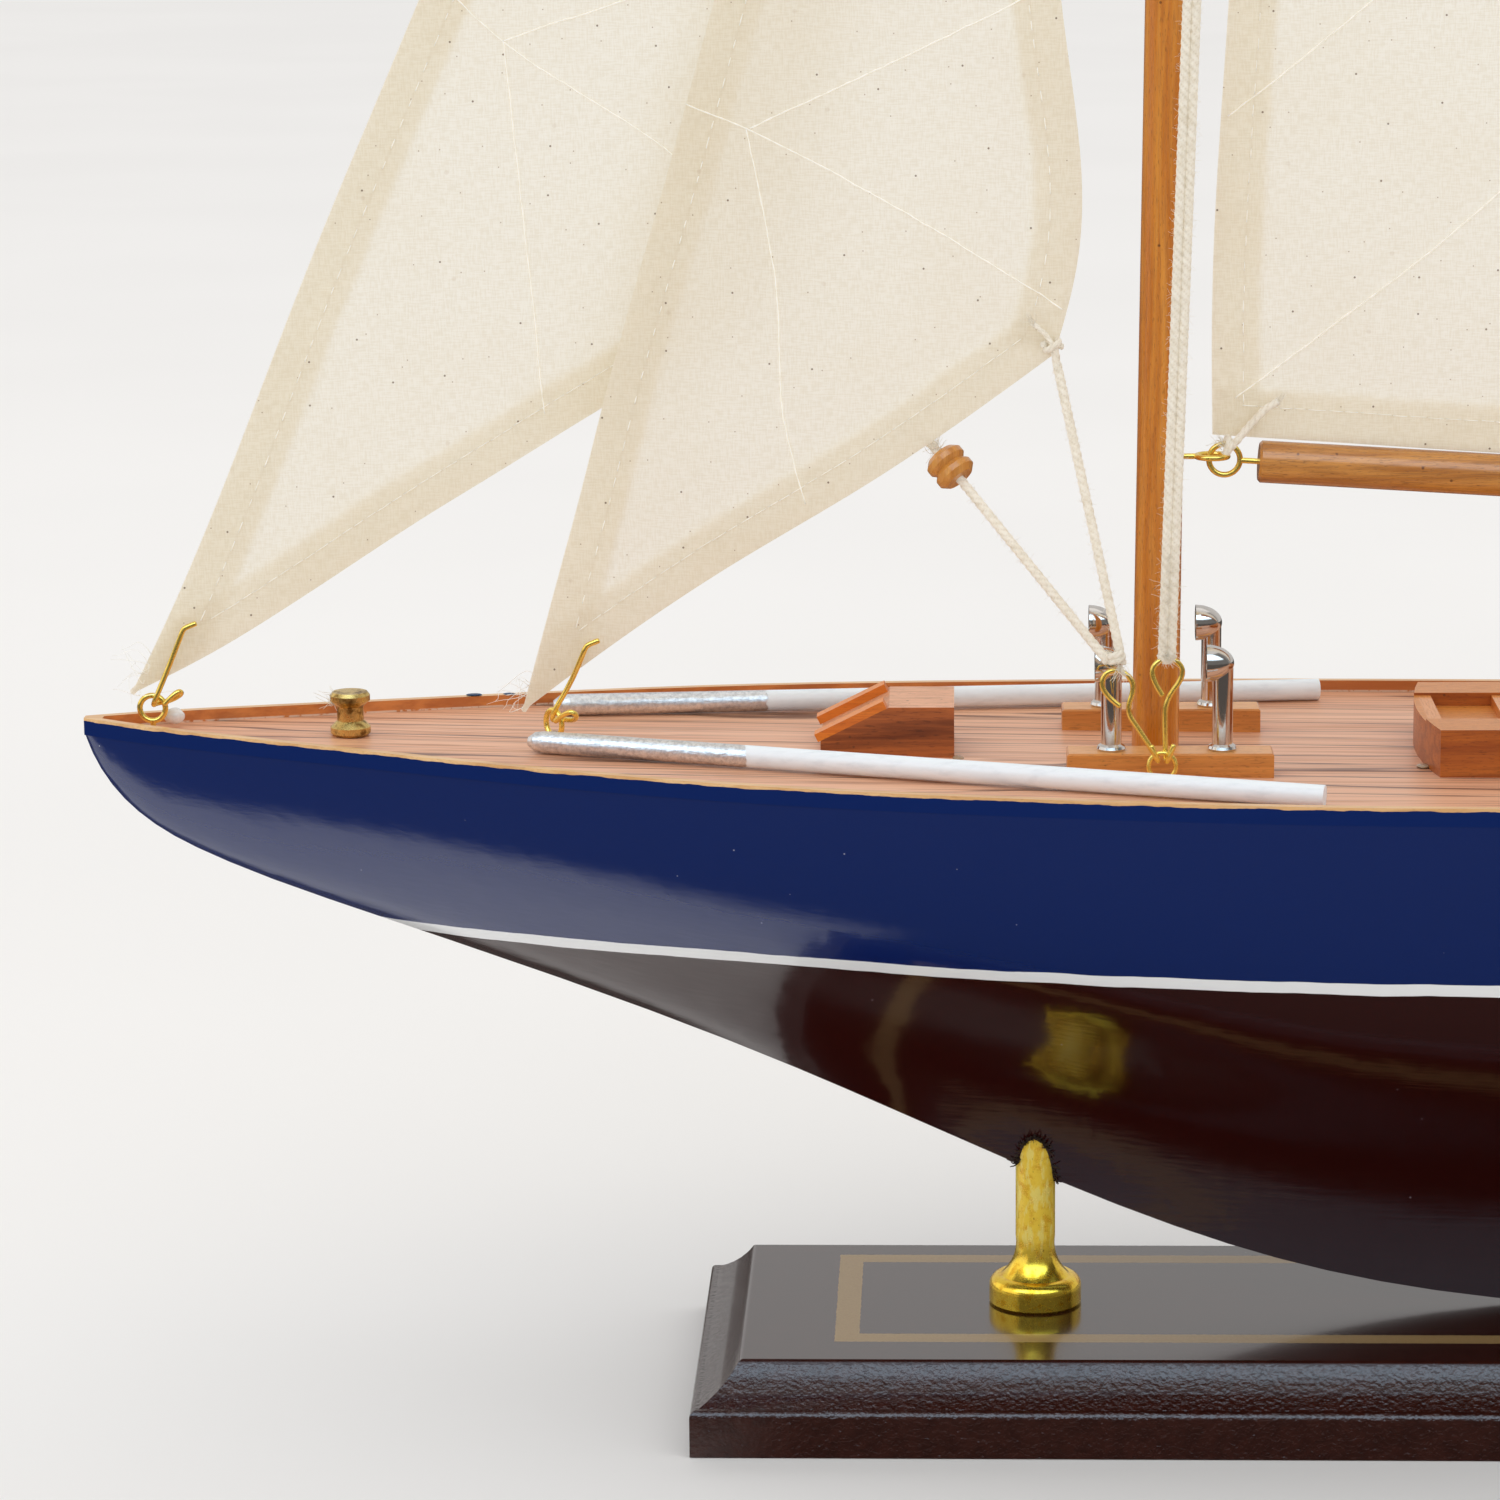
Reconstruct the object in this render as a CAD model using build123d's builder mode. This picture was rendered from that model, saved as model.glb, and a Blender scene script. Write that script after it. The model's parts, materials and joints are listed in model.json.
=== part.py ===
"""Wooden display model of a J-class style sailing yacht on its stand, in millimetres.

X runs along the boat with the bow at -X, Y runs across it with port at -Y, and Z is up.
The origin is on the underside of the stand, at the middle of the model.
"""
from build123d import *
import os
from math import pi, radians, tan

os.makedirs("parts", exist_ok=True)

# ---------------------------------------------------------------- driving dimensions
HULL_LENGTH = 430.0
BOW_X = -HULL_LENGTH / 2
STERN_X = HULL_LENGTH / 2

DECK_THICK = 0.8  # veneer laid on the hull
RAIL_RISE = 1.8  # rail above the deck
RAIL_WIDE = 1.4

STAND_LONG = 247.5
STAND_WIDE = 69.5
STAND_HIGH = 12.6
STAND_EDGE = 6.7  # height of the upright lower edge
STAND_INSET = 7.4  # from the lower edge to the top face

POST_X = 72.6
POST_RADIUS = 3.0
POST_FLANGE_RADIUS = 7.0
POST_FLANGE_HIGH = 3.8
FOOT_BEVEL = 0.35
POST_TENON = 9.0  # how far a post reaches up into the hull

MAST_FOOT_X = -54.95
MAST_RAKE = 0.5  # degrees, aft
MAST_FOOT_RADIUS = 3.5
MAST_TOP_RADIUS = 2.1
MAST_TOP_Z = 598.0
MAST_STEP = 22.0  # depth of the mast inside the hull

BOOM_RADIUS = 3.1
BOOM_FORE_X = -40.1
BOOM_FORE_Z = 141.8
BOOM_AFT_X = 182.0
BOOM_DROOP = 3.56  # degrees, aft end low

EYE_WIRE = 0.85
SMALL_WIRE = 0.68
CORD = 1.45
SAIL_THICK = 0.6

BLOCK_SIZE = (29.9, 6.0, 3.4)
BLOCK_X = -53.5
BLOCK_Y = 16.0
VENT_XS = {"fore": -62.0, "aft": -45.9}
VENT_HIGH = 15.5
COWL = (4.0, 2.7)  # length and half height of a vent's cowl
COWL_REACH = 2.4  # how far the mouth is forward of the pipe's middle

# stations: x, half beam at the rail, height of the keel line
STATIONS = (
    (BOW_X, 0.9, 101.2),
    (-213.0, 2.0, 96.4),
    (-207.5, 4.9, 89.6),
    (-197.0, 9.4, 83.2),
    (-175.0, 17.6, 74.8),
    (-145.0, 28.3, 64.4),
    (-110.0, 37.7, 50.7),
    (-72.6, 43.0, 33.6),
    (-36.0, 45.8, 20.0),
    (0.0, 46.2, 13.5),
    (36.0, 45.0, 14.2),
    (66.0, 42.6, 25.5),
    (95.0, 38.6, 47.0),
    (125.0, 33.0, 65.0),
    (160.0, 25.0, 77.5),
    (195.0, 15.6, 88.0),
    (STERN_X, 9.6, 94.0),
)
# breadth of a section, as a share of the half beam, at these shares of its height
SECTION_HEIGHTS = (0.0, 0.09, 0.24, 0.42, 0.62, 0.82, 1.0)
KEELED_BREADTHS = (0.034, 0.074, 0.20, 0.50, 0.83, 0.965, 1.0)
ROUND_BREADTHS = (0.10, 0.34, 0.57, 0.75, 0.88, 0.96, 1.0)
KEELED_DEPTH = 66.0  # sections this deep are fully wineglass shaped
EDGE_STEPS = 36


def save(part, name):
    """Labels a finished piece and writes its STEP file."""
    part.label = name
    export_step(part, f"parts/{name}.step")


def deck_z(x):
    """Height of the deck at x: the sheer sweeps up to the bow and a little to the stern."""
    if x < 20:
        return 98.0 + 4.1 * ((20 - x) / 235) ** 1.7
    return 98.0 + 3.0 * ((x - 20) / 195) ** 2


def mast_x(z):
    """Where the raked mast's axis is at height z."""
    return MAST_FOOT_X + (z - deck_z(MAST_FOOT_X)) * tan(radians(MAST_RAKE))


def mast_radius(z):
    share = (z - deck_z(MAST_FOOT_X)) / (MAST_TOP_Z - deck_z(MAST_FOOT_X))
    return MAST_FOOT_RADIUS + (MAST_TOP_RADIUS - MAST_FOOT_RADIUS) * share


def boom_z(x):
    """Height of the boom's axis at x."""
    return BOOM_FORE_Z - (x - BOOM_FORE_X) * tan(radians(BOOM_DROOP))


def turned(origin, along, points):
    """A solid of revolution about a line, from (radius, distance along) points."""
    origin, along = Vector(origin), Vector(along).normalized()
    radial = Vector(0, 1, 0) if abs(along.Y) < 0.9 else Vector(1, 0, 0)
    radial = (radial - along * radial.dot(along)).normalized()
    with BuildPart() as piece:
        with BuildSketch(Plane(origin, x_dir=radial, z_dir=radial.cross(along))):
            with BuildLine():
                Polyline(points, close=True)
            make_face()
        revolve(axis=Axis(origin, along))
    return piece.part


# ---------------------------------------------------------------- hull and deck
def section_points(half, keel, top, side):
    """Points of one side of a hull section, from the keel up to the top."""
    depth = top - keel
    wineglass = min(1.0, depth / KEELED_DEPTH) ** 2.2
    points = []
    for height, keeled, rounded in zip(SECTION_HEIGHTS, KEELED_BREADTHS, ROUND_BREADTHS):
        share = wineglass * keeled + (1 - wineglass) * rounded
        points.append((side * half * share, keel + depth * height))
    return points


def sheer_band(low, high):
    """A slab between two offsets from the deck line, wider than the boat."""
    with BuildPart() as band:
        with BuildSketch(Plane.XZ):
            with BuildLine():
                xs = [BOW_X - 3, -160, -100, -40, 20, 90, 150, STERN_X + 3]
                upper = Spline([(x, deck_z(x) + high) for x in xs])
                lower = Spline([(x, deck_z(x) + low) for x in xs])
                Line(upper @ 0, lower @ 0)
                Line(upper @ 1, lower @ 1)
            make_face()
        extrude(amount=60, both=True)
    return band.part


with BuildPart() as hull:
    for x, half, keel in STATIONS:
        with BuildSketch(Plane.YZ.offset(x)):
            with BuildLine():
                top = deck_z(x) + 1.0
                right = Spline(section_points(half, keel, top, 1))
                left = Spline(section_points(half, keel, top, -1))
                Line(right @ 0, left @ 0)
                Line(right @ 1, left @ 1)
            make_face()
    loft()
    add(sheer_band(-DECK_THICK, 40.0), mode=Mode.SUBTRACT)


def plan_edge(inset):
    """Points along the starboard edge of the deck plan, moved square inwards by inset."""
    edge = Edge.make_spline([Vector(x, half) for x, half, _ in STATIONS])
    last = 1 - inset / HULL_LENGTH
    points = []
    for step in range(EDGE_STEPS + 1):
        place = last * (step / EDGE_STEPS) ** 1.8  # closer together at the bow
        along = edge % place
        point = edge @ place + Vector(along.Y, -along.X) * inset
        if point.Y > 0.4:
            points.append((point.X, point.Y))
    return points


def plan_outline(inset):
    """The deck's outline seen from above, moved inwards by inset."""
    points = plan_edge(inset)
    with BuildSketch() as plan:
        with BuildLine():
            starboard_edge = Spline(points)
            port_edge = Spline([(x, -y) for x, y in points])
            Line(port_edge @ 0, starboard_edge @ 0)
            Line(port_edge @ 1, starboard_edge @ 1)
        make_face()
    return plan.sketch


with BuildPart() as deck:
    with BuildSketch(Plane.XY.offset(80)):
        add(plan_outline(RAIL_WIDE))
    extrude(amount=40)
    add(sheer_band(-DECK_THICK, 0.0), mode=Mode.INTERSECT)

rails = {}
for side, name in ((-1, "rail_port"), (1, "rail_starboard")):
    with BuildPart() as rail:
        with BuildSketch(Plane.XY.offset(80)):
            add(plan_outline(0))
            add(plan_outline(RAIL_WIDE), mode=Mode.SUBTRACT)
        extrude(amount=40)
        add(sheer_band(-DECK_THICK, RAIL_RISE), mode=Mode.INTERSECT)
        split(bisect_by=Plane.XZ, keep=Keep.BOTTOM if side > 0 else Keep.TOP)
    rails[name] = rail.part


# ---------------------------------------------------------------- stand
def moulded_bar(plane, width, length):
    """A bar with the stand's moulded section, extruded both ways from the plane."""
    half = width / 2
    top = half - STAND_INSET
    nose = (half - 1.3, STAND_EDGE + 0.3)  # the rounded nose ends here and the cove starts
    brow = (top + 0.5, STAND_HIGH - 0.5)  # the cove ends here, and a small round leads to the top face
    with BuildPart() as bar:
        with BuildSketch(plane):
            with BuildLine():
                Line((0, 0), (half, 0))
                side = Line((half, 0), (half, STAND_EDGE - 0.8))
                ThreePointArc(side @ 1, (half - 0.35, STAND_EDGE + 0.05), nose)
                ThreePointArc(nose, (half - 4.4, STAND_EDGE + 2.45), brow)
                ThreePointArc(brow, (top + 0.17, STAND_HIGH - 0.14), (top - 0.3, STAND_HIGH))
                Line((top - 0.3, STAND_HIGH), (0, STAND_HIGH))
                Line((0, STAND_HIGH), (0, 0))
            make_face()
            mirror(about=Plane.YZ)
        extrude(amount=length / 2, both=True)
    return bar.part


with BuildPart() as stand_base:
    add(moulded_bar(Plane.XZ, STAND_LONG, STAND_WIDE))
    add(moulded_bar(Plane.YZ, STAND_WIDE, STAND_LONG), mode=Mode.INTERSECT)
    for x in (-POST_X, POST_X):
        with Locations(Location((x, 0, 0), (180, 0, 0))):
            CounterSinkHole(radius=1.5, counter_sink_radius=3.6)


def stand_screw(x):
    """A countersunk wood screw, driven up through the stand into a post."""
    outline = [(0, 0.3), (3.1, 0.3), (1.5, 2.0), (1.5, STAND_HIGH + 7), (0, STAND_HIGH + 9)]
    return turned((x, 0, 0), (0, 0, 1), outline)


def post(x, seat_z):
    """A turned post on its flange, with a tenon that goes up into the hull."""
    top = seat_z - STAND_HIGH + POST_TENON
    rim = POST_FLANGE_HIGH - 1.1
    with BuildPart() as turned:
        with BuildSketch(Plane((x, 0, STAND_HIGH), x_dir=(1, 0, 0), z_dir=(0, -1, 0))):
            with BuildLine():
                Polyline((POST_RADIUS, 10.5), (POST_RADIUS, top), (0, top), (0, 0),
                         (POST_FLANGE_RADIUS - FOOT_BEVEL, 0), (POST_FLANGE_RADIUS, FOOT_BEVEL),
                         (POST_FLANGE_RADIUS, rim))
                shoulder = TangentArc((POST_FLANGE_RADIUS, rim), (5.2, 4.4), tangent=(0, 1))
                ThreePointArc(shoulder @ 1, (3.65, 6.4), (POST_RADIUS, 10.5))
            make_face()
        revolve(axis=Axis((x, 0, 0), (0, 0, 1)))
        add(stand_screw(x), mode=Mode.SUBTRACT)
    return turned.part


post_front = post(-POST_X, 36.0)
post_rear = post(POST_X, 31.0)

with BuildPart() as stand_screws:
    for x in (-POST_X, POST_X):
        add(stand_screw(x))

with BuildPart() as rudder:
    with BuildSketch(Plane.XZ):
        with BuildLine():
            Polyline((80, 34), (86, 32), (96, 36), (124, 66), (112, 68), (90, 48), close=True)
        make_face()
        fillet(vertices().group_by(Axis.Z)[0], radius=2.5)
    extrude(amount=1.2, both=True)
    add(hull.part, mode=Mode.SUBTRACT)
    add(post_rear, mode=Mode.SUBTRACT)


# ---------------------------------------------------------------- bent wire and screw eyes
def wire(points, thickness, bend):
    """A round wire along straight runs with bends of one radius."""
    with BuildPart() as piece:
        with BuildLine() as path:
            FilletPolyline(*points, radius=bend)
        with BuildSketch(Plane(origin=path.line @ 0, z_dir=path.line % 0)):
            Circle(thickness / 2)
        sweep(path=path.line)
    return piece.part


def screw_eye(center, face, shank, outer, thickness, reach):
    """A ring of wire with a straight shank that screws into the wood."""
    ring = (outer - thickness) / 2
    start = Vector(center) + Vector(shank).normalized() * ring
    with BuildPart() as eye:
        with Locations(Plane(origin=center, z_dir=face)):
            Torus(ring, thickness / 2)
        with BuildSketch(Plane(origin=start, z_dir=shank)):
            Circle(thickness / 2)
        extrude(amount=reach)
    return eye.part


def tack_hook(center, across, curl, front_y):
    """A brass hook from a deck eye up to a sail's tack, with a curl at its lower end."""
    ring = Vector(center)
    near = ring - Vector(across) * 1.15
    far = ring + Vector(across) * 1.15
    beside = Vector(across).cross(Vector(0, 0, 1))
    return wire(
        [
            near + beside * 1.9 + Vector(0, 0, 0.7),
            near + beside * curl + Vector(0, 0, 2.9),
            ring + beside * (curl + 0.8) + Vector(0, 0, 2.3),
            far + beside * (curl - 1.3) + Vector(0, 0, 0.9),
            far + beside * 0.25 + Vector(0, 0, 0.5),
            near + beside * 0.2 + Vector(0, 0, 0.6),
            ring + Vector(5.3, front_y, 12.2),
            ring + Vector(7.1, front_y, 12.8),
        ],
        SMALL_WIRE, 0.45,
    )


def head_hook(center, foot, front_y):
    """A hook over the lower side of a mast eye, down the front of a sail's head."""
    ring = Vector(center)
    return wire(
        [
            ring + Vector(0, 1.05, -1.9),
            ring + Vector(0, 1.05, 0.2),
            ring + Vector(0, -1.05, 0.2),
            ring + Vector(-0.3, min(front_y, -1.05), -4.4),
            foot,
        ],
        SMALL_WIRE, 0.9,
    )


bow_ring = (-204.7, 0, 105.2)
stay_ring = (-144.5, 0, 102.75)
stay_across = (0.77, 0.64, 0)
shroud_ring = (-54.9, -23.5, 101.15)
DOWN = (0, 0, -1)

bow_eye = screw_eye(bow_ring, (0, -1, 0), DOWN, 4.7, EYE_WIRE, 7.5)
stay_eye = screw_eye(stay_ring, stay_across, DOWN, 4.9, EYE_WIRE, 7.0)
shroud_eye_port = screw_eye(shroud_ring, (0, -1, 0), DOWN, 4.6, SMALL_WIRE, 6.0)
shroud_eye_starboard = screw_eye((-54.9, 23.5, 101.15), (0, -1, 0), DOWN, 4.6, SMALL_WIRE, 6.0)
deck_eyes = {
    "bow_eye": bow_eye,
    "stay_eye": stay_eye,
    "shroud_eye_port": shroud_eye_port,
    "shroud_eye_starboard": shroud_eye_starboard,
}

# two wire hooks share the port shroud eye: the fore one takes the sheets
sheet_hook = wire(
    [
        (-56.6, -24.7, 104.5), (-55.6, -24.7, 102.3), (-55.45, -22.4, 102.0), (-56.9, -22.4, 104.2),
        (-59.8, -22.4, 108.7), (-59.1, -22.4, 112.7), (-60.9, -22.4, 114.9), (-63.0, -22.4, 114.3),
        (-63.5, -22.4, 111.9), (-60.9, -22.4, 109.9),
    ],
    SMALL_WIRE, 0.55,
)
shroud_hook = wire(
    [
        (-53.3, -24.7, 104.6), (-54.2, -24.7, 102.2), (-54.35, -22.4, 101.9), (-54.5, -22.4, 106.7),
        (-54.5, -22.4, 110.8), (-52.0, -22.4, 114.4), (-53.3, -22.6, 116.3), (-55.5, -22.9, 116.2),
        (-56.5, -23.1, 114.3), (-55.0, -23.2, 111.6),
    ],
    SMALL_WIRE, 0.55,
)
jib_tack_hook = tack_hook(bow_ring, (0, 1, 0), 3.9, -1.1)
staysail_tack_hook = tack_hook(stay_ring, stay_across, 5.2, -2.7)

# ---------------------------------------------------------------- mast and its fittings
mast_plane = Plane(origin=(MAST_FOOT_X, 0, deck_z(MAST_FOOT_X)), x_dir=(1, 0, 0), z_dir=(0, 0, 1))
mast_plane = mast_plane.rotated((0, MAST_RAKE, 0))
UP = (Align.CENTER, Align.CENTER, Align.MIN)
BELOW = (Align.CENTER, Align.CENTER, Align.MAX)

jib_head_ring = (-57.0, 0, 449.0)
staysail_head_ring = (-57.2, 0, 433.0)
main_head_ring = (-46.0, 0, 583.0)
gooseneck_mast_ring = (-46.9, 0, 142.6)
mast_eyes = {
    "jib_head_eye": screw_eye(jib_head_ring, (0, -1, 0), (1, 0, 0), 4.0, 0.7, 5.0),
    "staysail_head_eye": screw_eye(staysail_head_ring, (0, -1, 0), (1, 0, 0), 4.0, 0.7, 5.0),
    "main_head_eye": screw_eye(main_head_ring, (0, 0, 1), (-1, 0, 0), 4.0, 0.7, 3.6),
    "gooseneck_mast_eye": screw_eye(gooseneck_mast_ring, (0, 0, 1), (-1, 0, 0), 5.4, EYE_WIRE, 7.0),
}

SPREADER_Z = 330.0
SPREADER_SWEEP = 9.0
SPREADER_TIP_Y = 29.2


def spreader(side):
    """A flat wooden arm, let into the side of the mast and swept aft."""
    root_x = mast_x(SPREADER_Z)
    tip_x = root_x + SPREADER_TIP_Y * tan(radians(SPREADER_SWEEP))
    with BuildPart() as arm:
        with BuildSketch(Plane.XY.offset(SPREADER_Z)):
            with BuildLine():
                Polyline(
                    (root_x - 1.3, side * 1.0), (root_x + 1.7, side * 1.0),
                    (tip_x + 1.7, side * SPREADER_TIP_Y), (tip_x - 1.7, side * SPREADER_TIP_Y),
                    close=True,
                )
            make_face()
        extrude(amount=0.9, both=True)
    return arm.part


spreaders = {"spreader_port": spreader(-1), "spreader_starboard": spreader(1)}

with BuildPart(mast_plane) as mast:
    mast_length = MAST_TOP_Z - deck_z(MAST_FOOT_X)
    Cone(MAST_FOOT_RADIUS, MAST_TOP_RADIUS, mast_length, align=UP)
    Cylinder(MAST_FOOT_RADIUS, MAST_STEP, align=BELOW)
for fitting in [*mast_eyes.values(), *spreaders.values()]:
    mast.part = mast.part - fitting

truck_outline = [(0, 0.03), (2.4, 0.03), (2.9, 0.8), (2.6, 1.7), (1.5, 2.3), (0, 2.5)]
mast_truck = turned((mast_x(MAST_TOP_Z), 0, MAST_TOP_Z), (0, 0, 1), truck_outline)

LASHING_Z = 570.0
with BuildPart() as masthead_lashing:
    for turn in range(3):
        turn_z = LASHING_Z + turn * (CORD + 0.03)
        with Locations((mast_x(turn_z), 0, turn_z)):
            Torus(mast_radius(turn_z) + CORD / 2, CORD / 2)
    add(mast.part, mode=Mode.SUBTRACT)

# ---------------------------------------------------------------- boom
boom_along = Vector(1, 0, -tan(radians(BOOM_DROOP))).normalized()
boom_length = (BOOM_AFT_X - BOOM_FORE_X) / boom_along.X
boom_start = Vector(BOOM_FORE_X, 0, BOOM_FORE_Z)
boom_ring = boom_start - boom_along * 5.0
boom_end_ring = boom_start + boom_along * (boom_length + 3.4)
gooseneck_boom_eye = screw_eye(boom_ring, (0, -1, 0), boom_along, 5.4, EYE_WIRE, 9.5)
boom_end_eye = screw_eye(boom_end_ring, (0, 0, 1), boom_along * -1, 4.7, EYE_WIRE, 8.0)

with BuildPart(Plane(origin=boom_start, z_dir=boom_along)) as boom:
    Cylinder(BOOM_RADIUS, boom_length, align=UP)
    chamfer(boom.edges().filter_by(GeomType.CIRCLE), length=0.35)
boom.part = boom.part - gooseneck_boom_eye - boom_end_eye

main_head_hook = wire(
    [
        (-44.9, -0.85, 566.0), (-46.0, -0.85, 577.5), (-46.0, 0, 580.0), (-46.0, 0, 585.4),
        (-43.3, 0, 585.4), (-43.3, 0, 581.4),
    ],
    SMALL_WIRE, 0.6,
)


# ---------------------------------------------------------------- sails
def sail(tack, luff, head, leech, clew, foot):
    """A flat cut sail: each edge runs smoothly through its own points."""
    plane = Plane(origin=tack, x_dir=Vector(clew) - Vector(tack),
                  z_dir=(Vector(clew) - Vector(tack)).cross(Vector(head) - Vector(tack)))

    def flat(points):
        local = [plane.to_local_coords(Vector(point)) for point in points]
        return [(point.X, point.Y) for point in local]

    with BuildPart() as cloth:
        with BuildSketch(plane):
            with BuildLine():
                Spline(flat([tack, *luff, head]))
                Spline(flat([head, *leech, clew]))
                Spline(flat([clew, *foot, tack]))
            make_face()
        extrude(amount=SAIL_THICK / 2, both=True)
    return cloth.part


jib_clew = (-109.2, 8.0, 166.5)
jib = sail(
    tack=(-207.9, 0.2, 107.3),
    luff=[(-203.4, 0.3, 116.0), (-181.5, 0.3, 166.3), (-162.3, 0.4, 209.4), (-109.0, 0.5, 330.0)],
    head=(-58.3, 0.6, 444.0),
    leech=[(-80.2, 3.6, 330.0), (-101.7, 6.8, 208.9)],
    clew=jib_clew,
    foot=[(-137.1, 5.8, 149.2), (-172.1, 3.0, 128.1), (-197.0, 1.1, 112.6)],
)
staysail_clew = (-70.2, -9.0, 159.0)
staysail = sail(
    tack=(-149.2, -0.5, 104.6),
    luff=[(-144.4, -0.5, 121.8), (-136.6, -0.6, 149.2), (-119.4, -0.8, 209.5), (-88.9, -1.0, 320.0)],
    head=(-59.5, -1.2, 425.0),
    leech=[(-65.3, -4.2, 320.0), (-69.3, -7.4, 209.5), (-67.0, -8.9, 172.0)],
    clew=staysail_clew,
    foot=[(-95.8, -6.3, 140.7), (-117.0, -3.9, 127.6), (-142.3, -1.2, 109.9)],
)
main_clew_x = 174.0
foot_rise = BOOM_RADIUS + 0.35
mainsail = sail(
    tack=(-46.9, 0, 145.8),
    luff=[(-47.1, 0, 162.8), (-45.1, 0, 208.8), (-43.2, 0, 340.0)],
    head=(-46.6, 0, 576.0),
    leech=[(24.0, 0, 443.0), (104.0, 0, 284.0)],
    clew=(main_clew_x, 0, boom_z(main_clew_x) + foot_rise),
    foot=[(60.0, 0, boom_z(60.0) + foot_rise), (-36.0, 0, boom_z(-36.0) + foot_rise)],
)
jib_head_hook = head_hook(jib_head_ring, (-60.0, -0.9, 437.0), -1.05)
staysail_head_hook = head_hook(staysail_head_ring, (-61.2, -2.2, 418.0), -2.2)


# ---------------------------------------------------------------- cords
def cord(points, bends, name):
    """A cord's tube along its route, with its bends and its length printed."""
    with BuildPart() as tube:
        with BuildLine() as path:
            if bends:
                FilletPolyline(*points, radius=bends)
            else:
                Line(*points)
        with BuildSketch(Plane(origin=path.line @ 0, z_dir=path.line % 0)):
            Circle(CORD / 2)
        sweep(path=path.line)
    length = sum(edge.length for edge in path.edges())
    share = tube.part.volume / (pi * CORD**2 / 4 * length)
    print(f"{name}: length {length:.1f} mm, bends {bends}, volume {share:.4f} of section x length")
    return tube.part


# the doubled shroud: both parts leave the wire hook, pass the spreader's tip and reach the lashing
shrouds = {}
for name, shift in (("shroud_fore", -0.76), ("shroud_aft", 0.76)):
    shrouds[name] = cord(
        [
            (-54.3 + shift, -22.7, 117.35),
            (-48.3 + shift, -30.0, SPREADER_Z),
            (-50.8 + shift, -3.1, 568.0),
        ],
        [10.0], name,
    )

bead_center = Vector(-85.3, -7.2, 142.3)
sheet_foot = Vector(-62.7, -22.3, 116.2)
bead_along = (sheet_foot - bead_center).normalized()
bead_mouth = bead_center - bead_along * 3.6
clew_pull = (Vector(jib_clew) - bead_mouth).normalized()
jib_sheet = cord([Vector(jib_clew) - clew_pull * 1.6, bead_mouth, sheet_foot], [8.0], "jib_sheet")

staysail_pull = (Vector(staysail_clew) - Vector(-60.9, -22.2, 117.0)).normalized()
staysail_sheet = cord(
    [Vector(staysail_clew) - staysail_pull * 1.6, Vector(-60.9, -22.2, 117.0)], [], "staysail_sheet"
)

tack_lashing = wire([(-40.0, -1.0, 149.6), (-41.6, -1.1, 146.2), (-44.6, -1.1, 143.6)], 1.2, 2.0)

BEAD_RADIUS = 3.0
BEAD_HALF = 2.35
BEAD_BORE = CORD / 2 + 0.06
bead_outline = [
    (BEAD_BORE, -BEAD_HALF), (BEAD_RADIUS - 0.8, -BEAD_HALF), (BEAD_RADIUS, -BEAD_HALF + 0.8),
    (BEAD_RADIUS, -0.7), (BEAD_RADIUS - 0.6, 0), (BEAD_RADIUS, 0.7),
    (BEAD_RADIUS, BEAD_HALF - 0.8), (BEAD_RADIUS - 0.8, BEAD_HALF), (BEAD_BORE, BEAD_HALF),
]
sheet_bead = turned(bead_center, bead_along, bead_outline)


# ---------------------------------------------------------------- deck fittings
def bollard(x):
    """A turned brass bollard with a waist."""
    outline = [
        (0, 0), (2.6, 0), (3.0, 0.4), (3.0, 1.3), (2.0, 2.3), (2.0, 4.4),
        (3.0, 5.3), (3.0, 6.1), (2.6, 6.6), (0, 6.6),
    ]
    return turned((x, 0, deck_z(x) + 0.09), (0, 0, 1), outline)


HATCH_FORE_X = -104.5
HATCH_AFT_X = -84.8
HATCH_HIGH = 7.6
HATCH_LIP = 2.6  # height of the hatch's fore edge
HATCH_ROOF_X = -94.4
HATCH_HALF = 7.9
hatch_floor = deck_z(HATCH_AFT_X)

with BuildPart() as companion_hatch:
    with BuildSketch(Plane.XZ):
        with BuildLine():
            Polyline(
                (HATCH_FORE_X, hatch_floor - 1), (HATCH_AFT_X, hatch_floor - 1),
                (HATCH_AFT_X, hatch_floor + HATCH_HIGH), (HATCH_ROOF_X, hatch_floor + HATCH_HIGH),
                (HATCH_FORE_X, hatch_floor + HATCH_LIP), close=True,
            )
        make_face()
    extrude(amount=HATCH_HALF, both=True)
    add(deck.part, mode=Mode.SUBTRACT)
    add(hull.part, mode=Mode.SUBTRACT)

# two slides lie on the hatch's slope, one along each side
slope_start = Vector(HATCH_FORE_X, 0, hatch_floor + HATCH_LIP)
slope_along = (Vector(HATCH_ROOF_X, 0, hatch_floor + HATCH_HIGH) - slope_start).normalized()
slope_up = Vector(-slope_along.Z, 0, slope_along.X)
slope_plane = Plane(slope_start - slope_along * 0.4, x_dir=slope_along, z_dir=slope_up)
SLIDE = (11.3, 3.0, 1.25)
with BuildPart(slope_plane) as hatch_slides:
    with Locations((SLIDE[0] / 2, -HATCH_HALF + SLIDE[1] / 2), (SLIDE[0] / 2, HATCH_HALF - SLIDE[1] / 2)):
        Box(*SLIDE, align=UP)
    add(companion_hatch.part, mode=Mode.SUBTRACT)

HOUSE_FORE_X = -14.5
HOUSE_AFT_X = 30.0
HOUSE_HALF = 17.8
HOUSE_HIGH = 7.0
HOUSE_BOW = 1.9  # how far the house's ends bulge
WELL_HALF = 9.5
WELL_DEEP = 2.0
WELL_PAST = 0.9  # how far the well reaches into each bulging end
BAR_DROP = 0.4  # the bars' tops lie this far below the house's top
house_floor = deck_z(HOUSE_FORE_X)

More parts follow.
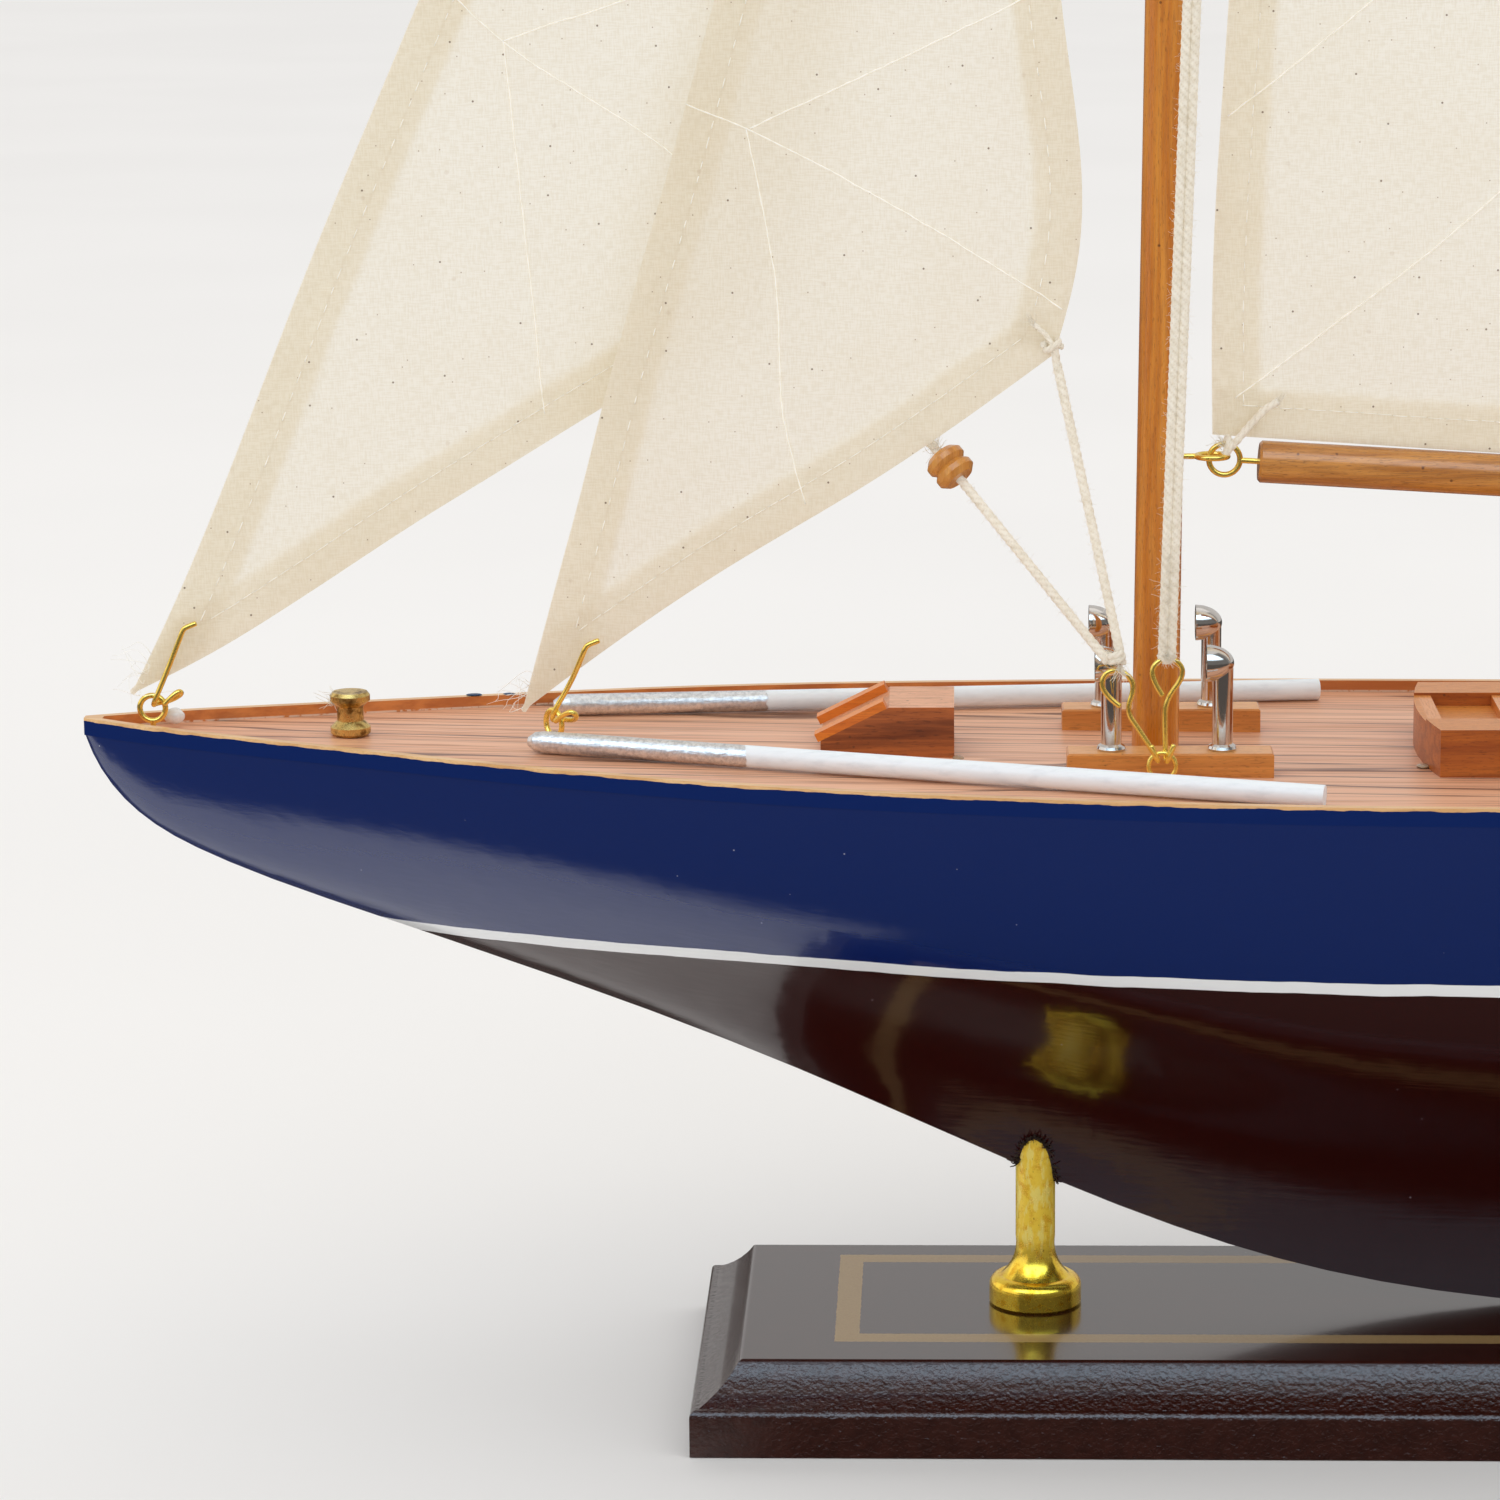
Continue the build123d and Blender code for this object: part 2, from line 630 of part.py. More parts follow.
with BuildPart() as deckhouse:
    with BuildSketch(Plane.XY.offset(house_floor - 1)):
        with BuildLine():
            middle = (HOUSE_FORE_X + HOUSE_AFT_X) / 2
            ThreePointArc((HOUSE_FORE_X, -HOUSE_HALF), (HOUSE_FORE_X - HOUSE_BOW, 0), (HOUSE_FORE_X, HOUSE_HALF))
            ThreePointArc((HOUSE_AFT_X, -HOUSE_HALF), (HOUSE_AFT_X + HOUSE_BOW, 0), (HOUSE_AFT_X, HOUSE_HALF))
            Line((HOUSE_FORE_X, -HOUSE_HALF), (HOUSE_AFT_X, -HOUSE_HALF))
            Line((HOUSE_FORE_X, HOUSE_HALF), (HOUSE_AFT_X, HOUSE_HALF))
        make_face()
    extrude(amount=HOUSE_HIGH + 1)
    with Locations((middle, 0, house_floor + HOUSE_HIGH)):
        Box(HOUSE_AFT_X - HOUSE_FORE_X + 2 * WELL_PAST, 2 * WELL_HALF, 2 * WELL_DEEP, mode=Mode.SUBTRACT)
        Box(HOUSE_AFT_X - HOUSE_FORE_X + 6, 2 * WELL_HALF, 2 * BAR_DROP, mode=Mode.SUBTRACT)
    add(deck.part, mode=Mode.SUBTRACT)
    add(hull.part, mode=Mode.SUBTRACT)

BAR_WIDE = 2.0
BAR_COUNT = 5
bars_start = HOUSE_FORE_X - WELL_PAST + BAR_WIDE / 2
bar_pitch = (HOUSE_AFT_X - HOUSE_FORE_X + 2 * WELL_PAST - BAR_WIDE) / (BAR_COUNT - 1)
with BuildPart() as skylight_bars:
    for bar in range(BAR_COUNT):
        with Locations((bars_start + bar * bar_pitch, 0, house_floor + HOUSE_HIGH - WELL_DEEP)):
            Box(BAR_WIDE, 2 * WELL_HALF, WELL_DEEP - BAR_DROP, align=UP)

block_floor = deck_z(BLOCK_X)


def vent_block(side):
    """A wooden strip that carries two cowl vents."""
    with BuildPart() as block:
        with Locations((BLOCK_X, side * BLOCK_Y, block_floor - 0.6)):
            Box(BLOCK_SIZE[0], BLOCK_SIZE[1], BLOCK_SIZE[2] + 0.6, align=UP)
        chamfer(block.edges().group_by(Axis.Z)[-1], length=0.25)
        add(deck.part, mode=Mode.SUBTRACT)
        add(hull.part, mode=Mode.SUBTRACT)
    return block.part


def cowl_vent(x, y):
    """A plated cowl vent: flange, pipe and an egg-shaped cowl whose wide end is the mouth, facing forward."""
    floor = block_floor + BLOCK_SIZE[2]
    mouth_x = x - COWL_REACH
    cowl_z = floor + VENT_HIGH - COWL[1]
    neck = VENT_HIGH - COWL[1] - 0.2
    outline = [(0, 0), (1.95, 0), (2.1, 0.3), (1.95, 0.7), (1.5, 1.0), (1.5, neck), (0, neck)]
    hollow = [(0, 0), (2.15, 0), (2.15, 0.9), (1.6, 1.8), (0, 2.3)]
    with BuildPart() as vent:
        add(turned((x, y, floor), (0, 0, 1), outline))
        with BuildSketch(Plane(origin=(mouth_x, y, cowl_z), x_dir=(1, 0, 0), z_dir=(0, -1, 0))):
            Ellipse(*COWL)
            Rectangle(10, 10, align=(Align.MIN, Align.MIN), mode=Mode.INTERSECT)
        revolve(axis=Axis((mouth_x, y, cowl_z), (1, 0, 0)))
        add(turned((mouth_x - 0.5, y, cowl_z), (1, 0, 0), hollow), mode=Mode.SUBTRACT)
    return vent.part


POLE_RADIUS = 1.65


def deck_pole(fore, aft):
    """A spare pole that lies on deck, blunt at the aft end and rounded off at the fore end."""
    start = Vector(*fore, deck_z(fore[0]) + POLE_RADIUS + 0.02)
    end = Vector(*aft, deck_z(aft[0]) + POLE_RADIUS + 0.02)
    length = (end - start).length
    outline = [(0, 0), (0.7, 0), (1.45, 1.0), (POLE_RADIUS, 2.4), (POLE_RADIUS, length), (0, length)]
    return turned(start, end - start, outline)


pole_port = deck_pole((-147.5, -9.2), (-32.7, -38.4))
pole_starboard = deck_pole((-146.0, 17.5), (-28.0, 38.2))

# aft of the deckhouse: a cockpit with its wheel
COCKPIT_X = 92.0
WHEEL_RADIUS = 7.0
cockpit_floor = deck_z(COCKPIT_X)
with BuildPart() as cockpit_coaming:
    with BuildSketch(Plane.XY.offset(cockpit_floor - 1)):
        with Locations((COCKPIT_X, 0)):
            RectangleRounded(46, 27, 5)
            RectangleRounded(42, 23, 3.4, mode=Mode.SUBTRACT)
    extrude(amount=4.2)
    add(deck.part, mode=Mode.SUBTRACT)
    add(hull.part, mode=Mode.SUBTRACT)

wheel_center = Vector(COCKPIT_X + 9, 0, cockpit_floor + 9.5)
with BuildPart() as wheel_pedestal:
    with Locations((wheel_center.X - 3.2, 0, cockpit_floor - 1)):
        Box(3.4, 5.0, 12.4, align=UP)
    chamfer(wheel_pedestal.edges().group_by(Axis.Z)[-1], length=0.5)
    add(turned(wheel_center - Vector(2.5, 0, 0), (1, 0, 0), [(0, 0), (0.6, 0), (0.6, 4.2), (0, 4.2)]))
    add(deck.part, mode=Mode.SUBTRACT)
    add(hull.part, mode=Mode.SUBTRACT)

SPOKES = 6
RIM_RADIUS = WHEEL_RADIUS - 1.6
RIM_HALF = 0.6
RIM_FLAT = 0.3
rim_inside = RIM_RADIUS - RIM_HALF
rim_outside = RIM_RADIUS + RIM_HALF
rim_section = [(rim_inside, -RIM_FLAT), (rim_inside, RIM_FLAT)]
rim_section += [(RIM_RADIUS - RIM_FLAT, RIM_HALF), (RIM_RADIUS + RIM_FLAT, RIM_HALF)]
rim_section += [(rim_outside, RIM_FLAT), (rim_outside, -RIM_FLAT)]
rim_section += [(RIM_RADIUS + RIM_FLAT, -RIM_HALF), (RIM_RADIUS - RIM_FLAT, -RIM_HALF)]
with BuildPart() as steering_wheel:
    add(turned(wheel_center, (1, 0, 0), rim_section))
    add(turned(wheel_center, (1, 0, 0), [(0.66, -0.8), (1.6, -0.8), (1.6, 0.8), (0.66, 0.8)]))
    for spoke in range(SPOKES):
        spoke_along = Vector(0, 1, 0).rotate(Axis.X, (spoke + 0.5) * 360 / SPOKES)
        rod = [(0, 1.1), (0.4, 1.1), (0.4, WHEEL_RADIUS), (0, WHEEL_RADIUS)]
        add(turned(wheel_center, spoke_along, rod))

# ---------------------------------------------------------------- holes for what is let into the wood
for fitting in deck_eyes.values():
    deck.part = deck.part - fitting
    hull.part = hull.part - fitting
for fitting in (mast.part, post_front, post_rear):
    hull.part = hull.part - fitting
deck.part = deck.part - mast.part

# ---------------------------------------------------------------- the finished pieces
pieces = {
    "stand_base": stand_base.part,
    "stand_screws": stand_screws.part,
    "post_front": post_front,
    "post_rear": post_rear,
    "hull": hull.part,
    "deck": deck.part,
    "rudder": rudder.part,
    "bow_bollard": bollard(-175.0),
    "stern_bollard": bollard(186.0),
    "companion_hatch": companion_hatch.part,
    "hatch_slides": hatch_slides.part,
    "deckhouse": deckhouse.part,
    "skylight_bars": skylight_bars.part,
    "pole_port": pole_port,
    "pole_starboard": pole_starboard,
    "cockpit_coaming": cockpit_coaming.part,
    "wheel_pedestal": wheel_pedestal.part,
    "steering_wheel": steering_wheel.part,
    "mast": mast.part,
    "mast_truck": mast_truck,
    "masthead_lashing": masthead_lashing.part,
    "boom": boom.part,
    "gooseneck_boom_eye": gooseneck_boom_eye,
    "boom_end_eye": boom_end_eye,
    "main_head_hook": main_head_hook,
    "tack_lashing": tack_lashing,
    "jib": jib,
    "staysail": staysail,
    "mainsail": mainsail,
    "jib_head_hook": jib_head_hook,
    "staysail_head_hook": staysail_head_hook,
    "jib_tack_hook": jib_tack_hook,
    "staysail_tack_hook": staysail_tack_hook,
    "sheet_hook": sheet_hook,
    "shroud_hook": shroud_hook,
    "jib_sheet": jib_sheet,
    "staysail_sheet": staysail_sheet,
    "sheet_bead": sheet_bead,
    **rails,
    **deck_eyes,
    **mast_eyes,
    **spreaders,
    **shrouds,
}
for side, side_name in ((-1, "port"), (1, "starboard")):
    pieces[f"vent_block_{side_name}"] = vent_block(side)
    for place, x in VENT_XS.items():
        pieces[f"cowl_vent_{place}_{side_name}"] = cowl_vent(x, side * BLOCK_Y)

for piece_name, piece in pieces.items():
    save(piece, piece_name)
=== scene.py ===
"""Looks for the wooden display yacht: cotton sails and cords, painted hull, wood, brass and a pale studio."""
import json
import math
import random

import bpy
import numpy as np
from mathutils import Matrix, Vector
from mathutils.bvhtree import BVHTree
from mathutils.kdtree import KDTree


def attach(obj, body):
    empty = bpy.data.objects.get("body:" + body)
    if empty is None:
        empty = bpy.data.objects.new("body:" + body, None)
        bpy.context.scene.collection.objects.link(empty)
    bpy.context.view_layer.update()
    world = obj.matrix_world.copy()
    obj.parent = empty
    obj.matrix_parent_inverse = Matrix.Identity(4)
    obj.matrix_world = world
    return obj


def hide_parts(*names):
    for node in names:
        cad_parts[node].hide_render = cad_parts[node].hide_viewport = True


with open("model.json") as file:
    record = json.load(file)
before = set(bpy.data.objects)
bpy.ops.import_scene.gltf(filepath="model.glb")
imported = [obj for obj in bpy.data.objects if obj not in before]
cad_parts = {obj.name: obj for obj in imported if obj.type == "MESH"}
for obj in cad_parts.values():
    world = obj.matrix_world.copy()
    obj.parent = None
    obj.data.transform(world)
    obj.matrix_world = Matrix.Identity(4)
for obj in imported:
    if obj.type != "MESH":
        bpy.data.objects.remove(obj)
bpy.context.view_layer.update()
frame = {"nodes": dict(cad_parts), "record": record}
nodes = frame["nodes"]
body_of = {n: b for b, members in frame["record"]["behaviour"]["bodies"].items() for n in members}
random.seed(7)
MM = 0.001
HULL = "hull_and_stand"


# ---- camera
CAMERA_AT = (-0.085007, -0.706833, 0.250410)
CAMERA_TURN = (12.11, 2.45, -0.62)  # degrees down, to the left, and about the line of sight
LENS = 116.35


def make_camera():
    """The viewpoint: beside the bow, a little above the deck, level with the port side."""
    tilt, pan, roll = (math.radians(a) for a in CAMERA_TURN)
    ahead = Vector((-math.sin(pan) * math.cos(tilt), math.cos(pan) * math.cos(tilt), -math.sin(tilt)))
    level = Vector((math.cos(pan), math.sin(pan), 0))
    lift = level.cross(ahead)
    right = level * math.cos(roll) + lift * math.sin(roll)
    up = lift * math.cos(roll) - level * math.sin(roll)
    data = bpy.data.cameras.new("camera")
    data.sensor_width = 36
    data.lens = LENS
    data.clip_start = 0.01
    data.clip_end = 60
    camera = bpy.data.objects.new("camera", data)
    bpy.context.scene.collection.objects.link(camera)
    turn = Matrix((right, up, -ahead)).transposed().to_4x4()
    turn.translation = Vector(CAMERA_AT)
    camera.matrix_world = turn
    bpy.context.scene.camera = camera


make_camera()


# ---- materials
# Colours are display colours, as six hex digits.
def rgb(code):
    """The colour in linear light."""
    parts = bytes.fromhex(code)
    return tuple(((c / 255 + 0.055) / 1.055) ** 2.4 if c > 10 else c / 3294 for c in parts) + (1.0,)


def darker(code, share):
    """The colour with that share of its light."""
    return tuple(c * share for c in rgb(code)[:3]) + (1.0,)


def grey(value):
    return (value, value, value, 1)


class Nodes:
    """A node tree, with short calls for what is made in it."""

    def __init__(self, tree):
        self.tree = tree

    def new(self, kind, **settings):
        node = self.tree.nodes.new(kind)
        for key, value in settings.items():
            setattr(node, key, value)
        return node

    def link(self, value, socket):
        """Feeds a socket from another, or sets it to a number, a vector or a colour's code."""
        if isinstance(value, bpy.types.NodeSocket):
            self.tree.links.new(value, socket)
        else:
            socket.default_value = rgb(value) if isinstance(value, str) else value

    def calc(self, operation, a, b=0.0):
        node = self.new("ShaderNodeMath", operation=operation)
        self.link(a, node.inputs[0])
        self.link(b, node.inputs[1])
        return node.outputs[0]

    def times(self, a, b):
        return self.calc("MULTIPLY", a, b)

    def plus(self, a, b):
        return self.calc("ADD", a, b)

    def minus(self, a, b):
        return self.calc("SUBTRACT", a, b)

    def span(self, value, low, high, to_low=0.0, to_high=1.0):
        """value from low to high, as a smooth step from to_low to to_high."""
        node = self.new("ShaderNodeMapRange", interpolation_type="SMOOTHSTEP")
        self.link(value, node.inputs["Value"])
        for key, number in (("From Min", low), ("From Max", high), ("To Min", to_low), ("To Max", to_high)):
            node.inputs[key].default_value = number
        return node.outputs["Result"]

    def mix(self, share, a, b, kind="MIX"):
        node = self.new("ShaderNodeMix", data_type="RGBA", blend_type=kind)
        self.link(share, node.inputs[0])
        self.link(a, node.inputs[6])
        self.link(b, node.inputs[7])
        return node.outputs[2]

    def over(self, under, colour, mask, share):
        """under, with that share of colour laid on it where mask is 1."""
        return self.mix(self.times(mask, share), under, colour)

    def parts(self, value, kind="XYZ"):
        """The three parts of a vector, or of a colour."""
        node = self.new("ShaderNodeSeparate" + kind)
        self.link(value, node.inputs[0])
        return node.outputs


class Shader(Nodes):
    """A Principled material. Its coordinates are the frame's, in millimetres."""

    def __init__(self, name, values):
        self.name = name
        self.material = bpy.data.materials.new(name)
        self.material.use_nodes = True
        super().__init__(self.material.node_tree)
        self.bsdf = self.tree.nodes["Principled BSDF"]
        for key, value in values.items():
            self.link(value, self.bsdf.inputs[key])
        place = self.new("ShaderNodeTexCoord")
        scale = self.new("ShaderNodeVectorMath", operation="SCALE")
        scale.inputs["Scale"].default_value = 1 / MM
        self.link(place.outputs["Object"], scale.inputs[0])
        self.mm = scale.outputs[0]
        self.x, self.y, self.z = self.parts(self.mm)

    def facing(self, kind="True Normal"):
        """The three parts of the surface's normal."""
        return self.parts(self.new("ShaderNodeNewGeometry").outputs[kind])

    def stretched(self, x, y, z, vector=None, turn=(0, 0, 0)):
        node = self.new("ShaderNodeMapping")
        self.link(vector or self.mm, node.inputs["Vector"])
        node.inputs["Rotation"].default_value = [math.radians(a) for a in turn]
        node.inputs["Scale"].default_value = (x, y, z)
        return node.outputs[0]

    def joined(self, x, y, z):
        node = self.new("ShaderNodeCombineXYZ")
        for value, socket in zip((x, y, z), node.inputs):
            self.link(value, socket)
        return node.outputs[0]

    def noise(self, scale, detail=2.0, rough=0.5, vector=None, bend=0.0):
        """Soft noise. vector is a socket, or what stretched() takes."""
        node = self.new("ShaderNodeTexNoise")
        vector = self.stretched(*vector) if isinstance(vector, tuple) else vector
        self.link(vector or self.mm, node.inputs["Vector"])
        for key, value in (("Scale", scale), ("Detail", detail), ("Roughness", rough), ("Distortion", bend)):
            node.inputs[key].default_value = value
        return node.outputs["Fac"]

    def specks(self, size, radius, share, vector=None, flat=False):
        """Dots: one to a cell of size mm, where share of the cells have one."""
        node = self.new("ShaderNodeTexVoronoi", voronoi_dimensions="2D" if flat else "3D")
        self.link(vector or self.mm, node.inputs["Vector"])
        node.inputs["Scale"].default_value = 1 / size
        near = self.span(node.outputs["Distance"], radius / size, 0.45 * radius / size)
        chance = self.parts(node.outputs["Color"], "Color")[0]
        return self.times(near, self.calc("GREATER_THAN", chance, 1 - share))

    def bump(self, height, depth, strength):
        """Relief of that depth in millimetres, on top of any relief already there."""
        node = self.new("ShaderNodeBump")
        node.inputs["Strength"].default_value = strength
        node.inputs["Distance"].default_value = depth * MM
        self.link(height, node.inputs["Height"])
        before = self.bsdf.inputs["Normal"]
        if before.is_linked:
            self.link(before.links[0].from_socket, node.inputs["Normal"])
        self.link(node.outputs[0], before)

    def colour(self, socket):
        self.link(socket, self.bsdf.inputs["Base Color"])

    def rough(self, socket):
        self.link(socket, self.bsdf.inputs["Roughness"])

    def see_through(self, colour, share):
        """Lets a share of the light come through thin cloth or thread, tinted by colour."""
        glow = self.new("ShaderNodeBsdfTranslucent")
        self.link(colour, glow.inputs["Color"])
        both = self.new("ShaderNodeMixShader")
        both.inputs[0].default_value = share
        self.link(self.bsdf.outputs[0], both.inputs[1])
        self.link(glow.outputs[0], both.inputs[2])
        self.link(both.outputs[0], self.tree.nodes["Material Output"].inputs["Surface"])


def wood(name, light, dark, axis, rough, coat, lines, specks=0.0, turn=(0, 0, 0), wide=1.0, top=None):
    """Varnished wood whose grain runs along one axis. With top, its upward faces are lightened to that
    colour, a painted sheen of the light from above.
    """
    s = Shader(name, {"Coat Weight": coat, "Coat Roughness": 0.16, "IOR": 1.45})
    stretch = [1.0, 1.0, 1.0]
    stretch[axis] = 0.05
    along = s.stretched(*stretch, turn=turn)
    bands = s.noise(0.45 / wide, 4, 0.6, along, 0.8)
    fibre = s.noise(4.2 / wide, 3, 0.6, along)
    stretch[axis] = 0.16
    pores = s.span(s.noise(5.5 / wide, 2, 0.5, s.stretched(*stretch, turn=turn)), 0.58, 0.70)
    tone = s.mix(s.span(bands, 0.3, 0.72), light, dark)
    # painted sheen: upward faces turn lighter, as where the light from above falls on them
    if top:
        tone = s.over(tone, top, s.span(s.facing()[2], 0.80, 0.95), 0.85)
    tone = s.over(tone, darker(dark, 0.55), s.span(fibre, 0.42, 0.75), 0.38 * lines)
    tone = s.over(tone, darker(dark, 0.35), pores, 0.42 * lines)
    if specks:
        tone = s.over(tone, "562e14", s.specks(2.6, 0.30, specks), 0.75)
    s.colour(tone)
    s.rough(s.span(fibre, 0.2, 0.8, rough - 0.06, rough + 0.10))
    s.bump(s.plus(fibre, pores), 0.02, 0.35 * lines)
    return s


def metal(name, colour, rough, dull=None, scratch=0.3, metallic=1.0):
    """Bright metal with faint scratches, and tarnish where dull is given."""
    s = Shader(name, {"Metallic": metallic})
    cloud = s.noise(0.7, 4, 0.6)
    fine = s.noise(5.0, 3, 0.6)
    if dull:
        s.colour(s.mix(s.span(cloud, 0.45, 0.68), colour, dull))
    else:
        s.colour(s.mix(s.span(cloud, 0.3, 0.8), colour, darker(colour, 0.9)))
    s.rough(s.span(s.plus(cloud, fine), 0.7, 1.3, rough * 0.7, rough * 1.5))
    s.bump(fine, 0.02, scratch)
    return s


POST_X = 72.6  # both posts stand this far from the middle
FLANGE_TOP, COLUMN_FROM = 18.5, 24.0


def gilding():
    """Gold leaf on the two round posts: mottled, with dark nicks, a painted sheen on the column, and shaded
    as true rounds.
    """
    s = metal("post_brass", "ffd84a", 0.20, "e8b22c", 0.4)
    # the column is nearly matt, so its bright base colour stands in for the gold leaf's sheen: painted sheen
    s.link(s.span(s.z, FLANGE_TOP, COLUMN_FROM, 0.95, 0.12), s.bsdf.inputs["Metallic"])
    tone = s.bsdf.inputs["Base Color"].links[0].from_socket
    # pale patches on the column: partly the gold leaf's own mottling, partly a painted highlight
    pale = s.span(s.noise(0.9, 3, 0.6, (1.2, 1.2, 0.35)), 0.50, 0.60)
    pale = s.times(pale, s.span(s.z, FLANGE_TOP, COLUMN_FROM))
    tone = s.over(tone, "ffea80", pale, 0.8)
    nick = s.span(s.noise(2.0, 3, 0.7, (1.4, 1.4, 0.5)), 0.66, 0.70)
    s.colour(s.over(tone, "704a14", nick, 0.7))
    # the normal of a round about the post's own axis, as tall as the mesh's normal is
    tall = s.facing("Normal")[2]
    out = s.times(s.minus(s.calc("ABSOLUTE", s.x), POST_X), s.calc("SIGN", s.x))
    reach = s.calc("SQRT", s.plus(s.times(out, out), s.times(s.y, s.y)))
    level = s.calc("SQRT", s.calc("MAXIMUM", s.minus(1.0, s.times(tall, tall)), 0.0))
    share = s.calc("DIVIDE", level, reach)
    round_normal = s.joined(s.times(out, share), s.times(s.y, share), tall)
    s.link(round_normal, s.bsdf.inputs["Normal"].links[0].from_node.inputs["Normal"])
    return s


NAVY = "03205c"
MAROON = "2c0907"
STRIPE = "f0f1f2"
STRIPE_LOW, STRIPE_HIGH = 71.5, 73.4


def hull_paint():
    """Gloss paint: navy above a white boot stripe and maroon below it."""
    s = Shader("hull_paint", {"Roughness": 0.14, "IOR": 1.70, "Coat Weight": 0.35, "Coat Roughness": 0.08})
    waver = s.span(s.noise(0.06, 3), 0.2, 0.8, -0.22, 0.22)
    level = s.plus(s.z, waver)
    above = s.span(level, STRIPE_HIGH - 0.05, STRIPE_HIGH + 0.05)
    over_low = s.span(level, STRIPE_LOW - 0.05, STRIPE_LOW + 0.05)
    tone = s.mix(above, s.mix(over_low, MAROON, STRIPE), NAVY)
    tone = s.over(tone, "c8cddc", s.specks(4.0, 0.15, 0.30), 0.55)
    s.colour(tone)
    over_edge = s.span(level, STRIPE_HIGH, STRIPE_HIGH + 0.3, 1, 0)
    ridge = s.plus(s.span(level, STRIPE_LOW - 0.3, STRIPE_LOW), over_edge)
    s.bump(s.noise(1.0, 3, 0.5, (0.05, 1.0, 1.1)), 0.05, 0.6)
    s.bump(s.noise(0.09, 2, 0.5), 0.30, 0.5)
    s.bump(s.specks(5.0, 0.2, 0.45), 0.05, 0.6)
    s.bump(ridge, 0.04, 0.5)
    return s


STAND_TOP = 12.6
GOLD_FRAME = (102.8, 1.45, 20.75, 3.66)  # half length, middle across the stand, half width, band width


def stand_lacquer():
    """Dark burgundy lacquer with a matt gold band on the top face."""
    s = Shader("stand_lacquer", {"IOR": 1.5, "Coat Weight": 0.5, "Coat Roughness": 0.10})
    half_long, middle, half_wide, band = GOLD_FRAME
    out_x = s.minus(s.calc("ABSOLUTE", s.x), half_long)
    out_y = s.minus(s.calc("ABSOLUTE", s.minus(s.y, middle)), half_wide)
    inside = s.calc("MAXIMUM", out_x, out_y)
    inside = s.plus(inside, s.span(s.noise(1.2, 3), 0.2, 0.8, -0.08, 0.08))
    frame_mask = s.times(s.span(inside, 0.03, -0.03), s.span(inside, -band - 0.03, -band + 0.03))
    frame_mask = s.times(frame_mask, s.span(s.z, STAND_TOP - 0.3, STAND_TOP - 0.1))
    base = s.mix(s.span(s.noise(0.5, 3), 0.3, 0.7), "2e120c", "371811")
    base = s.over(base, "aaa5a5", s.specks(3.2, 0.12, 0.25), 0.6)
    gold = s.mix(s.noise(3.0, 3), "967646", "b09260")
    s.colour(s.mix(frame_mask, base, gold))
    s.rough(s.mix(frame_mask, grey(0.20), grey(0.45)))
    side = s.span(s.z, STAND_TOP - 0.05, STAND_TOP - 0.7)
    pebble = s.times(s.noise(1.4, 2, 0.5), s.plus(side, 0.02))
    s.bump(pebble, 0.42, 0.8)
    s.bump(s.times(s.specks(3.2, 0.16, 0.3), s.plus(side, 0.15)), 0.06, 0.6)
    return s


def deck_veneer():
    """Pinkish brown veneer with long, thin grey-brown grain lines along the deck."""
    s = Shader("deck_veneer", {"IOR": 1.45, "Coat Weight": 0.06, "Coat Roughness": 0.3})
    bands = s.noise(0.20, 2, 0.5, (0.03, 1, 1))

    def rings(pitch, scale, stretch, wander):
        """Saw teeth across the deck, bent by noise, as a cut veneer's growth rings run."""
        bent = s.times(s.noise(scale, 2, 0.5, (stretch, 1, 1)), wander)
        return s.calc("FRACT", s.plus(s.times(s.y, pitch), bent))

    main, fine = rings(0.15, 0.10, 0.07, 3.2), rings(0.50, 0.30, 0.03, 4.0)
    bold = s.times(s.span(main, 0.82, 0.90), s.span(main, 1.0, 0.96))
    streak = s.times(s.span(fine, 0.45, 0.85), s.span(fine, 1.0, 0.92))
    broken = s.span(s.noise(0.8, 2, 0.5, (0.05, 1, 1)), 0.34, 0.54, 0.25, 1.0)
    thin = s.span(s.noise(1.3, 2, 0.6, (0.012, 1, 1)), 0.54, 0.62)
    tone = s.mix(s.span(bands, 0.3, 0.7), "ecb896", "dea480")
    tone = s.over(tone, "8c5c48", s.times(streak, broken), 0.42)
    tone = s.over(tone, "8c5c48", thin, 0.30)
    tone = s.over(tone, "58362c", s.times(bold, broken), 0.80)
    s.colour(tone)
    s.rough(s.span(thin, 0.0, 1.0, 0.36, 0.5))
    s.bump(s.plus(s.plus(thin, bold), streak), 0.03, -0.4)
    return s


# the deck's edge: its lowest place, and how far and how high it runs from there to the bow and the stern
LOWEST_X, LOWEST_Z = 20.0, 98.0
FORE_RUN, FORE_RISE = 235.0, 4.1
AFT_RUN, AFT_RISE = 195.0, 3.0


